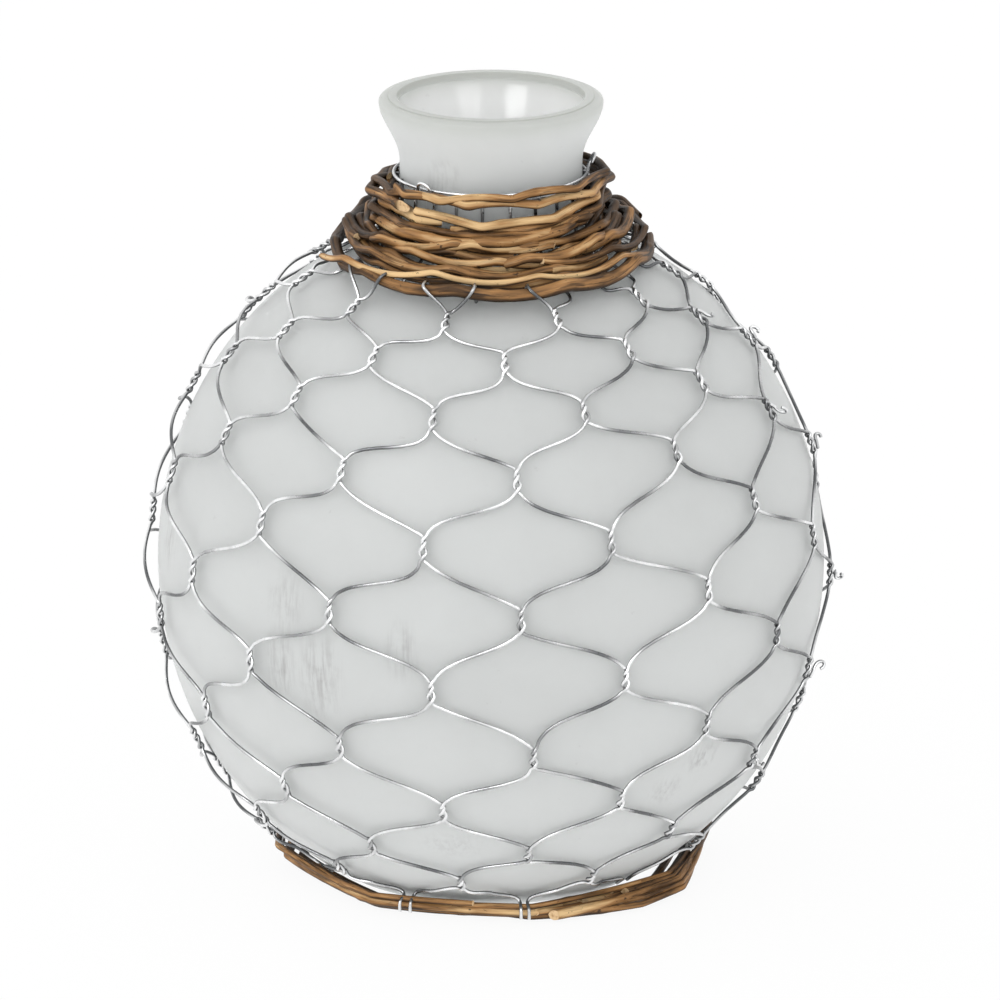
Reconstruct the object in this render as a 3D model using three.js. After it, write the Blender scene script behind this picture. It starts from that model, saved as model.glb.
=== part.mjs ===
// Frosted glass globe bottle in a jacket of hexagonal wire netting, with willow rods wound
// round the shoulder and a willow hoop round the foot.
// Millimetres and degrees. +Z is up, the origin is the middle of the foot, the front is -Y.
import * as THREE from "three";

// Glass bottle
const BODY_RADIUS = 90;
const BODY_RISE = 94.5; // widest circle to the crown of the upper half ellipse
const BODY_DROP = 96.5; // widest circle to the pole of the lower half ellipse
const FOOT_RADIUS = 42.8;
const FOOT_CHAMFER = 1.2;
const SHOULDER_FILLET = 12;
const WAIST_RADIUS = 24.35;
const WAIST_LENGTH = 10.5;
const FLARE_LENGTH = 16.9;
const FLARE_EASE = 1.25; // above 1 keeps the flare slender at its foot
const LIP_RADIUS = 29.9;
const LIP_WIDTH = 4.9;
const LIP_ROUNDING = 1.8;
const LIP_INNER_ROUNDING = 0.9;
const WALL = 3.5;
const FLOOR_HEIGHT = 7;
const GLASS_FACETS = 36;
const GLASS_STEPS = { body: 10, fillet: 3, flare: 5, lip: 3, inner: 11 };
const FINE_STEPS = { body: 240, fillet: 60, flare: 60 };

// Wire netting
const WIRE_RADIUS = 0.5;
const GAP = 0.35; // clearance between pieces that rest on each other
const NET_GAP = 0.5; // netting twists stand this far off the glass
const CHORD_SAG = 0.35; // a winding's straight facets lie this far inside its circle
const TWIST_GAP = 0.15; // clearance between the two wires of a twist
const NET_CELLS = 11;
const NET_ROWS = 11;
const NET_TURN = -10.4; // azimuth of the first twist of the top row
const ROWS_ABOVE = 5.5; // rows above the widest circle
const ROW_RISE = 1.45;
const ROW_STEP = 11.4; // angle on the ellipse from row to row
const ROW_EASE = 0.04; // how much closer the rows lie towards neck and foot
const TWIST_LENGTH = 6.4;
const HALF_TURNS = 3;
const SEAM_AZIMUTH = 85;
const SEAM_PULL = 4; // the rows are drawn up towards the seam
const NET_DIP = 1.7; // and hang down at the front
const NET_LEAN = 0.55; // each row is turned this far from the row above
const NECK_RUN = 0.25; // from a top twist to its wires' way up the neck, in meshes
const NECK_STEPS = 5;
const WIRE_SIDES = 3;

// Willow
const ROD_RADIUS = 1.55;
const ROD_TIP = 0.72; // tip radius as a share of the butt's
const ROD_SIDES = 5;
const STEPS_PER_TURN = 22;
const CUT_SLOPE = 0.9;
const END_GAP = 7; // degrees between a rod's tip and the next rod's butt
const LAYER_GAP = 0.4;
const LINE_STATIONS = 8;

// Collar: an inner and an outer layer of rods that climb the shoulder, wound against each other
const INNER_RODS = { count: 8, turns: 1.056, gap: 0.85, down: 1.6, start: 95, hand: -1, tilt: 0.6 };
const OUTER_RODS = { count: 7, turns: 0.9, gap: 1.1, down: 1.6, start: 75, hand: 1, tilt: 2 };
const ABOVE_TIE = 3; // the collar's top, over the neck tie
const ROD_WANDER = 0.2; // sideways, along each rod
const WANDER_WAVES = 3; // in one turn
const WANDER_SHIFT = 80; // from rod to rod
const GATHER = 0.2; // the turns are drawn together at the sides by this share
const GATHER_WIDTH = 50;
const GATHER_AT = [-92, 92];
const COLLAR_KINK = 1.2; // how far the rods' corners stand off
const COLLAR_CORNERS = 7;
const COLLAR_TURN = 60; // azimuth of a corner
const TIP_LIFT = 2.6; // how far an outer rod's tip stands off
const TIP_FADE = 12;
const HOOK_STEP = 60; // bend of a netting wire round a rod, from point to point
const NECK_HOOK = [155, 95, 40]; // bend over the lowest collar rod, from its underside up
const HOOK_FROM = -60; // the netting wires between these azimuths hold the lowest rod
const HOOK_TO = 20;

// Base hoop
const HOOP_GAP = 0.6; // between the lower and the upper rods
const HOOP_KINK = 2;
const HOOP_CORNERS = 8;
const HOOP_TURN = 7;
const HOOP_ENDS = [-96, 24]; // azimuth where the lower and the upper rods begin
const BRACE_FROM = 17;
const BRACE_TO = 94;
const BRACE_GAP = 0.3; // between the brace and the upper rods
const BRACE_SLOPES = [-14, 50]; // of the line from an upper rod to the brace, at its two ends
const BRACE_BULGE = 2.6;
const FOOT_HOOK = [5, 60, 110]; // bend over an upper rod, from its top down
const HOOKED_PAIRS = [1, 3, 5, 6, 10]; // pairs of netting wires, counted from the back
const PAIR_GAP = 1.4; // between the two wires of a hooked pair
const HOOK_REACH = 0.85; // height where a hooked wire leaves the glass, by the last twist's
const TUCK_REACH = [0.75, 0.6, 0.45]; // the same for a tucked wire's bends

// Neck tie and seam ties
const TIE_HEIGHT = 6.5; // above the foot of the waist
const TIE_GAP = 0.7;
const TIE_FROM = -45;
const TIE_TURNS = 1.37;
const TIE_LOOP = 1.9;
const TIE_LEAN = 0.6; // slope of an eye off the neck
const TIE_BEND = [45, 90, 135, 180, 225, 270]; // of an eye
const TIE_SIDES = 4;
const WIRE_END_ABOVE_TIE = 2.6;
const SEAM_TWISTS = [[1, 71], [2, 88], [3, 71], [4, 88], [6, 88], [7, 71], [8, 55]]; // row, azimuth
const SEAM_BEND = [-20, 15, 50, 85, 120, 150];
const SEAM_CLIMB = 0.25; // from point to point of the bend
const SEAM_TAIL = 3.2;
const SEAM_TAIL_OUT = 1.9;
const SEAM_TAIL_ASIDE = 1.6;

const radians = THREE.MathUtils.degToRad;
const cell = 360 / NET_CELLS;
const bodyMiddle = BODY_DROP * Math.sqrt(1 - (FOOT_RADIUS / BODY_RADIUS) ** 2);

// Outline of the glass

function bodyPoint(angle) {
  const half = angle < 0 ? BODY_DROP : BODY_RISE;
  return new THREE.Vector2(BODY_RADIUS * Math.cos(angle), bodyMiddle + half * Math.sin(angle));
}

function bodyNormal(angle) {
  const half = angle < 0 ? BODY_DROP : BODY_RISE;
  return new THREE.Vector2(Math.cos(angle) / BODY_RADIUS, Math.sin(angle) / half).normalize();
}

function heightToAngle(height) {
  const half = height < bodyMiddle ? BODY_DROP : BODY_RISE;
  return Math.asin((height - bodyMiddle) / half);
}

// The fillet touches the upper ellipse where its centre stands one fillet radius off the waist.
function shoulderTangent() {
  let low = 0;
  let high = Math.PI / 2;
  for (let i = 0; i < 50; i++) {
    const middle = (low + high) / 2;
    const centre = bodyPoint(middle).addScaledVector(bodyNormal(middle), SHOULDER_FILLET);
    if (centre.x > WAIST_RADIUS + SHOULDER_FILLET) low = middle;
    else high = middle;
  }
  return low;
}

const shoulderAngle = shoulderTangent();
const filletCentre = bodyPoint(shoulderAngle).addScaledVector(bodyNormal(shoulderAngle), SHOULDER_FILLET);
const waistTop = filletCentre.y + WAIST_LENGTH;
const lipHeight = waistTop + FLARE_LENGTH;

function flareShare(t) {
  const eased = t ** FLARE_EASE;
  return eased * eased * (3 - 2 * eased);
}

function arc(centre, radius, from, to, steps) {
  const points = [];
  for (let i = 0; i <= steps; i++) {
    const angle = THREE.MathUtils.lerp(from, to, i / steps);
    points.push(new THREE.Vector2(Math.cos(angle), Math.sin(angle)).multiplyScalar(radius).add(centre));
  }
  return points;
}

// Outer wall from the foot chamfer to the widest circle of the lip.
function outerWall(steps) {
  const points = [];
  const footAngle = heightToAngle(FOOT_CHAMFER);
  for (let i = 0; i < steps.body; i++) {
    points.push(bodyPoint(THREE.MathUtils.lerp(footAngle, shoulderAngle, i / steps.body)));
  }
  const normal = bodyNormal(shoulderAngle);
  const filletStart = Math.atan2(-normal.y, -normal.x);
  points.push(...arc(filletCentre, SHOULDER_FILLET, filletStart, -Math.PI, steps.fillet));
  for (let i = 0; i <= steps.flare; i++) {
    const t = i / steps.flare;
    const x = THREE.MathUtils.lerp(WAIST_RADIUS, LIP_RADIUS, flareShare(t));
    points.push(new THREE.Vector2(x, waistTop + FLARE_LENGTH * t));
  }
  return points;
}

// Fine copy of the outer wall, with the distance along it, on which the other pieces are laid.
const wall = outerWall(FINE_STEPS);
const along = [0];
for (let i = 1; i < wall.length; i++) along.push(along[i - 1] + wall[i].distanceTo(wall[i - 1]));

// Radius and height of the point at a distance along the wall, lifted off the glass.
function onGlass(distance, lift = 0) {
  let i = 1;
  while (i < along.length - 1 && along[i] < distance) i++;
  const t = (distance - along[i - 1]) / (along[i] - along[i - 1]);
  const point = wall[i - 1].clone().lerp(wall[i], t);
  const run = wall[i].clone().sub(wall[i - 1]).normalize();
  return point.addScaledVector(new THREE.Vector2(run.y, -run.x), lift);
}

function alongAtHeight(height) {
  let i = 1;
  while (i < wall.length - 1 && wall[i].y < height) i++;
  const t = (height - wall[i - 1].y) / (wall[i].y - wall[i - 1].y);
  return THREE.MathUtils.lerp(along[i - 1], along[i], t);
}

function alongNearest(point) {
  const distances = wall.map((p) => p.distanceTo(point));
  return along[distances.indexOf(Math.min(...distances))];
}

function around(point, azimuth) {
  const a = radians(azimuth);
  return new THREE.Vector3(point.x * Math.sin(a), -point.x * Math.cos(a), point.y);
}

function glassBottle() {
  const outerLip = new THREE.Vector2(LIP_RADIUS - LIP_ROUNDING, lipHeight);
  const innerLip = new THREE.Vector2(LIP_RADIUS - LIP_WIDTH, lipHeight + LIP_ROUNDING);
  innerLip.add(new THREE.Vector2(LIP_INNER_ROUNDING, -LIP_INNER_ROUNDING));
  const profile = [
    new THREE.Vector2(0, 0),
    new THREE.Vector2(FOOT_RADIUS - FOOT_CHAMFER, 0),
    ...outerWall(GLASS_STEPS),
    ...arc(outerLip, LIP_ROUNDING, 0, Math.PI / 2, GLASS_STEPS.lip).slice(1),
    ...arc(innerLip, LIP_INNER_ROUNDING, Math.PI / 2, Math.PI, GLASS_STEPS.lip - 1),
    ...innerWall(),
  ];
  const glass = new THREE.LatheGeometry(profile, GLASS_FACETS);
  glass.rotateX(Math.PI / 2);
  return glass;
}

// Inner wall from the mouth down to the floor: the outer wall set in by the glass thickness,
// which grows to the width of the lip along the flare.
function innerWall() {
  const points = [];
  const flareStart = alongAtHeight(waistTop);
  const flareEnd = along[along.length - 1];
  const flareSteps = GLASS_STEPS.lip + 1;
  for (let i = 1; i <= flareSteps; i++) {
    const t = 1 - i / flareSteps;
    const depth = THREE.MathUtils.lerp(WALL, LIP_WIDTH, flareShare(t));
    points.push(onGlass(THREE.MathUtils.lerp(flareStart, flareEnd, t), -depth));
  }
  const floorStart = along[along.findIndex((s) => onGlass(s, -WALL).y >= FLOOR_HEIGHT)];
  for (let i = 1; i <= GLASS_STEPS.inner; i++) {
    const t = i / GLASS_STEPS.inner;
    points.push(onGlass(THREE.MathUtils.lerp(flareStart, floorStart, t), -WALL));
  }
  points.push(new THREE.Vector2(0, points[points.length - 1].y));
  return points;
}

// Tubes

// Closed tube of flat sides along a run of points. radiusAt takes the share of the run;
// slopes tilt the two end faces, as on a rod cut at a slant.
function tube(points, radiusAt, sides, slopes = [0, 0]) {
  const last = points.length - 1;
  const tangents = points.map((p, i) => {
    const next = points[Math.min(i + 1, last)];
    return next.clone().sub(points[Math.max(i - 1, 0)]).normalize();
  });
  const side = new THREE.Vector3(points[0].x, points[0].y, 0).normalize();
  side.addScaledVector(tangents[0], -side.dot(tangents[0])).normalize();
  const positions = [];
  const indices = [];
  for (let i = 0; i <= last; i++) {
    if (i > 0) side.applyQuaternion(new THREE.Quaternion().setFromUnitVectors(tangents[i - 1], tangents[i]));
    const across = tangents[i].clone().cross(side);
    const slope = i === 0 ? slopes[0] : i === last ? slopes[1] : 0;
    for (let k = 0; k < sides; k++) {
      const a = (2 * Math.PI * k) / sides;
      const radius = radiusAt(i / last);
      const vertex = points[i].clone().addScaledVector(side, radius * Math.cos(a));
      vertex.addScaledVector(across, radius * Math.sin(a));
      vertex.addScaledVector(tangents[i], slope * radius * Math.cos(a));
      positions.push(vertex.x, vertex.y, vertex.z);
    }
  }
  for (let i = 0; i < last; i++) {
    for (let k = 0; k < sides; k++) {
      const a = i * sides + k;
      const b = i * sides + ((k + 1) % sides);
      indices.push(a, b, a + sides, b, b + sides, a + sides);
    }
  }
  for (let k = 1; k < sides - 1; k++) {
    const end = last * sides;
    indices.push(0, k + 1, k, end, end + k, end + k + 1);
  }
  const geometry = new THREE.BufferGeometry();
  geometry.setAttribute("position", new THREE.Float32BufferAttribute(positions, 3));
  geometry.setIndex(indices);
  geometry.computeVertexNormals();
  return geometry;
}

// Netting

const twistRadius = (WIRE_RADIUS + TWIST_GAP / 2) / Math.cos(Math.PI / 4);
const netLift = twistRadius + WIRE_RADIUS + NET_GAP;
const runLift = WIRE_RADIUS + GAP;
const tieLift = runLift + 2 * WIRE_RADIUS + GAP + CHORD_SAG;
const rodLift = runLift + WIRE_RADIUS + GAP + CHORD_SAG + ROD_RADIUS;
const hookReach = ROD_RADIUS + WIRE_RADIUS + GAP + CHORD_SAG / 2;

// Distance along the glass of a row of twists at an azimuth.
function rowAlong(row, azimuth) {
  const k = ROWS_ABOVE - row;
  const angle = radians(ROW_RISE + ROW_STEP * k - ROW_EASE * k ** 3);
  const pull = ((1 + Math.cos(radians(azimuth - SEAM_AZIMUTH))) / 2) ** 2;
  const rise = SEAM_PULL * pull * Math.cos(angle) ** 2;
  return alongAtHeight(bodyPoint(angle).y) + rise - NET_DIP * Math.cos(radians(azimuth));
}

// Azimuth of a row's first twist, half a mesh on in every other row.
function rowTurn(row) {
  return NET_TURN + NET_LEAN * (row - NET_ROWS / 2) + ((row % 2) * cell) / 2;
}

// One wire through one twist: a helix of half turns about the twist's axis, which runs down the glass.
function twist(azimuth, row, drift) {
  const middle = rowAlong(row, azimuth);
  const steps = 2 * HALF_TURNS;
  const points = [];
  for (let k = 0; k <= steps; k++) {
    const turn = radians((drift > 0 ? 180 : 0) + 90 * k);
    const point = onGlass(middle + TWIST_LENGTH * (0.5 - k / steps), netLift + twistRadius * Math.sin(turn));
    const sideways = (twistRadius * Math.cos(turn)) / point.x;
    points.push(around(point, azimuth + THREE.MathUtils.radToDeg(sideways)));
  }
  return points;
}

// From the top row up under the collar to the neck. A hooked wire first bends over the lowest rod
// and dives in above it.
function neckRun(azimuth, drift) {
  const top = rowAlong(0, azimuth) + TWIST_LENGTH / 2;
  const run = azimuth - drift * cell * NECK_RUN;
  const turned = THREE.MathUtils.euclideanModulo(run + 180, 360) - 180;
  const hooked = turned > HOOK_FROM && turned < HOOK_TO;
  const points = [];
  let start = top + TWIST_LENGTH / 2;
  if (hooked) {
    const rod = collarPlace(innerLayer, 0, lowestTurn(innerLayer, run), 0);
    for (const turn of NECK_HOOK) points.push(around(hookPoint(rod, turn), run));
    const above = rod.point.clone().addScaledVector(rod.up, hookReach);
    points.push(around(above, run));
    start = alongNearest(above);
    points.push(around(onGlass(start, runLift), run));
  } else {
    points.push(around(onGlass(start, runLift), run));
  }
  const end = tieAlong + WIRE_END_ABOVE_TIE;
  for (let i = 1; i <= NECK_STEPS; i++) {
    points.push(around(onGlass(THREE.MathUtils.lerp(start, end, i / NECK_STEPS), runLift), run));
  }
  return points.reverse();
}

// Point of a wire bent round a rod: 0 is straight up the rod's line, 90 straight out.
function hookPoint(rod, turn) {
  const radius = hookReach / Math.cos(radians(HOOK_STEP / 2));
  const point = rod.point.clone().addScaledVector(rod.up, radius * Math.cos(radians(turn)));
  return point.addScaledVector(rod.out, radius * Math.sin(radians(turn)));
}

// From the last row to the hoop. Some pairs are hooked round the upper rod, the others tucked behind.
function footRun(azimuth, pair, drift) {
  const spread = THREE.MathUtils.radToDeg((WIRE_RADIUS + PAIR_GAP / 2) / upperRod.x);
  const end = azimuth + drift * (cell / 2 - spread);
  const halfWay = (azimuth + end) / 2;
  const bottom = rowAlong(NET_ROWS - 1, azimuth) - TWIST_LENGTH / 2;
  if (!HOOKED_PAIRS.includes(THREE.MathUtils.euclideanModulo(pair, NET_CELLS))) {
    return [
      around(onGlass(bottom * TUCK_REACH[0], runLift), halfWay),
      around(onGlass(bottom * TUCK_REACH[1], runLift), end),
      around(onGlass(bottom * TUCK_REACH[2], runLift), end),
    ];
  }
  const point = new THREE.Vector2(upperRod.x + hoopKink(end), upperRod.y);
  const rod = { point, up: new THREE.Vector2(0, 1), out: new THREE.Vector2(1, 0) };
  const bend = FOOT_HOOK.map((turn) => around(hookPoint(rod, turn), end));
  return [around(onGlass(bottom * HOOK_REACH, netLift), halfWay), ...bend];
}

function nettingWire(column, drift) {
  const azimuthAt = (row) => rowTurn(row) + cell * (column + Math.floor((drift * row) / 2));
  const points = neckRun(azimuthAt(0), drift);
  for (let row = 0; row < NET_ROWS; row++) points.push(...twist(azimuthAt(row), row, drift));
  const pair = column + (NET_ROWS * (drift - 1)) / 2;
  points.push(...footRun(azimuthAt(NET_ROWS - 1), pair, drift));
  return tube(points, () => WIRE_RADIUS, WIRE_SIDES);
}

// A cut wire end bent over a twist, with its tail standing out.
function seamTie(row, near) {
  const azimuth = rowTurn(row) + cell * Math.round((near - rowTurn(row)) / cell);
  const middle = rowAlong(row, azimuth);
  const bend = twistRadius + 2 * WIRE_RADIUS + GAP;
  const points = SEAM_BEND.map((turn, i) => {
    const point = onGlass(middle + SEAM_CLIMB * i, netLift + bend * Math.sin(radians(turn)));
    return around(point, azimuth + THREE.MathUtils.radToDeg((bend * Math.cos(radians(turn))) / point.x));
  });
  const tail = onGlass(middle + SEAM_TAIL, netLift + bend + SEAM_TAIL_OUT);
  points.push(around(tail, azimuth - THREE.MathUtils.radToDeg((bend + SEAM_TAIL_ASIDE) / tail.x)));
  return tube(points, () => WIRE_RADIUS, WIRE_SIDES);
}

// Collar

const tieAlong = alongAtHeight(filletCentre.y + TIE_HEIGHT);
const innerLayer = rodLayer(INNER_RODS, 0);
const outerLayer = rodLayer(OUTER_RODS, 1);

// A layer of rods and the line, in radius and height, that its turns climb past the neck tie.
// The line stands off far enough to lie on the netting's twists at its foot and on the tie at its top.
function rodLayer(rods, number) {
  const raise = number * (2 * ROD_RADIUS + LAYER_GAP);
  const foot = rowAlong(0, 0) - TWIST_LENGTH;
  const twistEnd = rowAlong(0, 180) + TWIST_LENGTH / 2 + ROD_RADIUS;
  const tieEnd = tieAlong - 2 * ROD_RADIUS;
  const stations = [];
  for (let i = 0; i <= LINE_STATIONS; i++) {
    const distance = THREE.MathUtils.lerp(foot, tieAlong + ABOVE_TIE, i / LINE_STATIONS);
    let under = runLift;
    if (distance < twistEnd) under = netLift + twistRadius;
    if (distance > tieEnd) under = tieLift;
    stations.push(onGlass(distance, raise + under + WIRE_RADIUS + GAP + CHORD_SAG + ROD_RADIUS));
  }
  const line = new THREE.SplineCurve(stations);
  const wound = 360 * rods.count * rods.turns;
  const pitch = 2 * ROD_RADIUS + rods.gap;
  return { ...rods, line, length: line.getLength(), pitch, wound, outer: number > 0 };
}

// Share of their full spread that the turns keep at an azimuth.
function spreadAt(azimuth) {
  const nearest = GATHER_AT.map((side) => THREE.MathUtils.euclideanModulo(azimuth - side + 180, 360) - 180);
  return nearest.reduce((spread, off) => spread - GATHER * Math.exp(-((off / GATHER_WIDTH) ** 2)), 1);
}

// Stand-off of a stiff rod that bends at corners: 0 in the middle of a straight, 1 at a corner.
function cornerShare(azimuth, corners, turn) {
  const half = 180 / corners;
  const off = THREE.MathUtils.euclideanModulo(azimuth - turn, 2 * half) - half;
  return (1 / Math.cos(radians(off)) - 1) / (1 / Math.cos(radians(half)) - 1);
}

// Where a rod of a layer lies, by the angle wound from the layer's lower end. Under the rest of the
// inner layer its first rod leaves room for the hooked wires.
function collarPlace(layer, number, wound, wander) {
  const azimuth = layer.start + layer.hand * wound;
  const room = layer.outer || number > 0 ? 0 : Math.max(0, 2 * hookReach + GAP - layer.pitch);
  const below = layer.down + (layer.pitch * (layer.wound - wound)) / 360 + room;
  const tilt = layer.tilt * Math.sin(radians(azimuth));
  const share = 1 - (below * spreadAt(azimuth) - tilt - wander) / layer.length;
  const up = layer.line.getTangentAt(share);
  const out = new THREE.Vector2(up.y, -up.x);
  const kink = COLLAR_KINK * cornerShare(azimuth, COLLAR_CORNERS, COLLAR_TURN);
  return { point: layer.line.getPointAt(share).addScaledVector(out, kink), up, out };
}

function lowestTurn(layer, azimuth) {
  return THREE.MathUtils.euclideanModulo(layer.hand * (azimuth - layer.start), 360);
}

// One rod of a layer. Each rod wanders a little inside its own groove; an outer rod's tip stands off.
function collarRod(layer, number) {
  const from = 360 * layer.turns * number + END_GAP / 2;
  const to = 360 * layer.turns * (number + 1) - END_GAP / 2;
  const points = [];
  for (let i = 0; i <= STEPS_PER_TURN; i++) {
    const t = i / STEPS_PER_TURN;
    const wound = THREE.MathUtils.lerp(from, to, t);
    const wave = Math.sin(radians(WANDER_WAVES * wound + WANDER_SHIFT * number));
    const wander = ROD_WANDER * wave * Math.sin(Math.PI * t);
    const standOff = layer.outer ? TIP_LIFT * Math.exp(-TIP_FADE * (1 - t)) : 0;
    const place = collarPlace(layer, number, wound, wander);
    points.push(around(place.point.addScaledVector(place.out, standOff), layer.start + layer.hand * wound));
  }
  return tube(points, rodRadius, ROD_SIDES, [CUT_SLOPE, 0]);
}

function rodRadius(share) {
  return ROD_RADIUS * THREE.MathUtils.lerp(1, ROD_TIP, share);
}

// Neck tie: one wire wound round the netting's ends above the collar, an eye bent at each end.
function neckTie() {
  const pitch = 2 * WIRE_RADIUS + TIE_GAP;
  const steps = Math.round(STEPS_PER_TURN * TIE_TURNS);
  const points = [];
  for (let i = 0; i <= steps; i++) {
    const turns = (TIE_TURNS * i) / steps;
    points.push(around(onGlass(tieAlong + pitch * turns, tieLift), TIE_FROM + 360 * turns));
  }
  points.unshift(...tieEye(TIE_FROM, tieAlong, -1).reverse());
  const end = TIE_FROM + 360 * TIE_TURNS;
  points.push(...tieEye(end, tieAlong + pitch * TIE_TURNS, 1));
  printLeastGap(points);
  return tube(points, () => WIRE_RADIUS, TIE_SIDES);
}

// Three quarters of a small loop that stands off the neck and leaves it along the winding.
function tieEye(azimuth, distance, hand) {
  const start = around(onGlass(distance, tieLift), azimuth);
  const forward = new THREE.Vector3(Math.cos(radians(azimuth)), Math.sin(radians(azimuth)), 0);
  const lean = around(new THREE.Vector2(TIE_LEAN, 1), azimuth).normalize();
  return TIE_BEND.map((turn) => {
    const point = start.clone().addScaledVector(forward, hand * TIE_LOOP * Math.sin(radians(turn)));
    return point.addScaledVector(lean, TIE_LOOP * (1 - Math.cos(radians(turn))));
  });
}

function printLeastGap(points) {
  const spacing = points.map((p, i) => (i > 0 ? p.distanceTo(points[i - 1]) : 0));
  let least = Infinity;
  points.forEach((p, i) => {
    let run = 0;
    for (let j = i + 1; j < points.length; j++) {
      run += spacing[j];
      if (run > 4 * TIE_LOOP) least = Math.min(least, p.distanceTo(points[j]) - 2 * WIRE_RADIUS);
    }
  });
  console.log(`neck_tie_wire: least gap to itself ${least.toFixed(2)} mm`);
}

// Base hoop

// The lower rods lie against the glass just above the ground, the upper ones outside the netting's ends.
const lowerAlong = along[along.findIndex((s) => onGlass(s, ROD_RADIUS + GAP).y >= ROD_RADIUS + GAP)];
const lowerRod = onGlass(lowerAlong, ROD_RADIUS + GAP);
const upperRod = onGlass(lowerAlong + 2 * ROD_RADIUS + HOOP_GAP, rodLift);

function hoopKink(azimuth) {
  return HOOP_KINK * cornerShare(azimuth, HOOP_CORNERS, HOOP_TURN);
}

// A rod of the hoop; place gives its radius and height by the share of its run.
function hoopRod(place, from, to) {
  const steps = Math.round((STEPS_PER_TURN * (to - from)) / 360);
  const points = [];
  for (let i = 0; i <= steps; i++) {
    const azimuth = THREE.MathUtils.lerp(from, to, i / steps);
    const point = place(i / steps);
    points.push(around(new THREE.Vector2(point.x + hoopKink(azimuth), point.y), azimuth));
  }
  return tube(points, rodRadius, ROD_SIDES, [CUT_SLOPE, 0]);
}

// The brace bulges out beside the upper rods and climbs over them at its far end.
function bracePlace(share) {
  const slope = radians(THREE.MathUtils.lerp(BRACE_SLOPES[0], BRACE_SLOPES[1], share));
  const bulge = BRACE_BULGE * Math.sin(Math.PI * share);
  const reach = ROD_RADIUS + rodRadius(share) + BRACE_GAP + bulge;
  return new THREE.Vector2(Math.cos(slope), Math.sin(slope)).multiplyScalar(reach).add(upperRod);
}

// Assembly

const frosted = { color: 0xd3d7d6, roughness: 0.55, metalness: 0 };
const galvanised = { color: 0xb4b8ba, roughness: 0.35, metalness: 0.9 };
const bark = { color: 0x8a6238, roughness: 0.7, metalness: 0 };
const paleBark = { color: 0xab834f, roughness: 0.7, metalness: 0 };

const vase = new THREE.Group();

function add(name, geometry, finish) {
  const mesh = new THREE.Mesh(geometry, new THREE.MeshStandardMaterial(finish));
  mesh.name = name;
  vase.add(mesh);
}

function numbered(name, number) {
  return `${name}_${String(number).padStart(2, "0")}`;
}

add("glass_bottle", glassBottle(), frosted);
for (let i = 0; i < NET_CELLS; i++) {
  add(numbered("netting_wire", 2 * i + 1), nettingWire(i, 1), galvanised);
  add(numbered("netting_wire", 2 * i + 2), nettingWire(i, -1), galvanised);
}
SEAM_TWISTS.forEach(([row, near], i) => add(numbered("seam_tie", i + 1), seamTie(row, near), galvanised));
for (let i = 0; i < INNER_RODS.count; i++) {
  add(numbered("collar_rod", i + 1), collarRod(innerLayer, i), bark);
}
for (let i = 0; i < OUTER_RODS.count; i++) {
  add(numbered("collar_outer_rod", i + 1), collarRod(outerLayer, i), paleBark);
}
add("neck_tie_wire", neckTie(), galvanised);
HOOP_ENDS.forEach((start, i) => {
  const place = () => (i === 0 ? lowerRod : upperRod);
  const halfGap = END_GAP / 2;
  add(numbered("base_rod", 2 * i + 1), hoopRod(place, start + halfGap, start + 180 - halfGap), bark);
  add(numbered("base_rod", 2 * i + 2), hoopRod(place, start + 180 + halfGap, start + 360 - halfGap), bark);
});
add("base_brace_rod", hoopRod(bracePlace, BRACE_FROM, BRACE_TO), paleBark);

export default vase;
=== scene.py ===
"""Globe bottle of frosted glass in a jacket of hexagonal wire netting, with willow rods wound round
its shoulder and a willow hoop round its foot.

Shapes are worked out in millimetres and degrees, and put into the meshes in metres. Azimuth 0 is the
front (-Y), and 90 is +X. A point on the glass is given by its azimuth, its distance along the outer
wall from the foot, and its lift off the wall.
"""

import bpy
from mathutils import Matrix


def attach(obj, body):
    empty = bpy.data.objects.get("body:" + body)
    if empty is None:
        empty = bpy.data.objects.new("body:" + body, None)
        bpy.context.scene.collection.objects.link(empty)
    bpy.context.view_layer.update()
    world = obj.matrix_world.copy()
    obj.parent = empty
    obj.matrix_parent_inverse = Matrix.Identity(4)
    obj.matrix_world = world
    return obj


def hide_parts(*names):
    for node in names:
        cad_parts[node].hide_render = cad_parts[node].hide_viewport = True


bl_info = {
    "name": "Frosted Bottle in Wire Netting",
    "version": (1, 0, 0),
    "blender": (4, 5, 0),
    "location": "View3D > Sidebar > Bottle",
    "description": "Dresses a globe bottle with frosted glass, galvanised netting and willow rods",
    "category": "Add Mesh",
}

from types import SimpleNamespace

import bpy
import numpy as np
from bpy.props import FloatProperty, FloatVectorProperty, PointerProperty
from bpy.types import Operator, Panel, PropertyGroup

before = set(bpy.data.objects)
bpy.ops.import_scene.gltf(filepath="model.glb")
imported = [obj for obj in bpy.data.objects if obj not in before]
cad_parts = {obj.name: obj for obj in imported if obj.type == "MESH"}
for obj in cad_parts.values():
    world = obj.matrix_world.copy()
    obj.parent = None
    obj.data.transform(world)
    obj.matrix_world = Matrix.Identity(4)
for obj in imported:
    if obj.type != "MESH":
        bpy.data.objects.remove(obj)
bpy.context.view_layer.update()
MM = 0.001
CREASE = 60
UP = np.array([0.0, 0.0, 1.0])
LEVEL = np.array([1.0, 1.0, 0.0])

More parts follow.
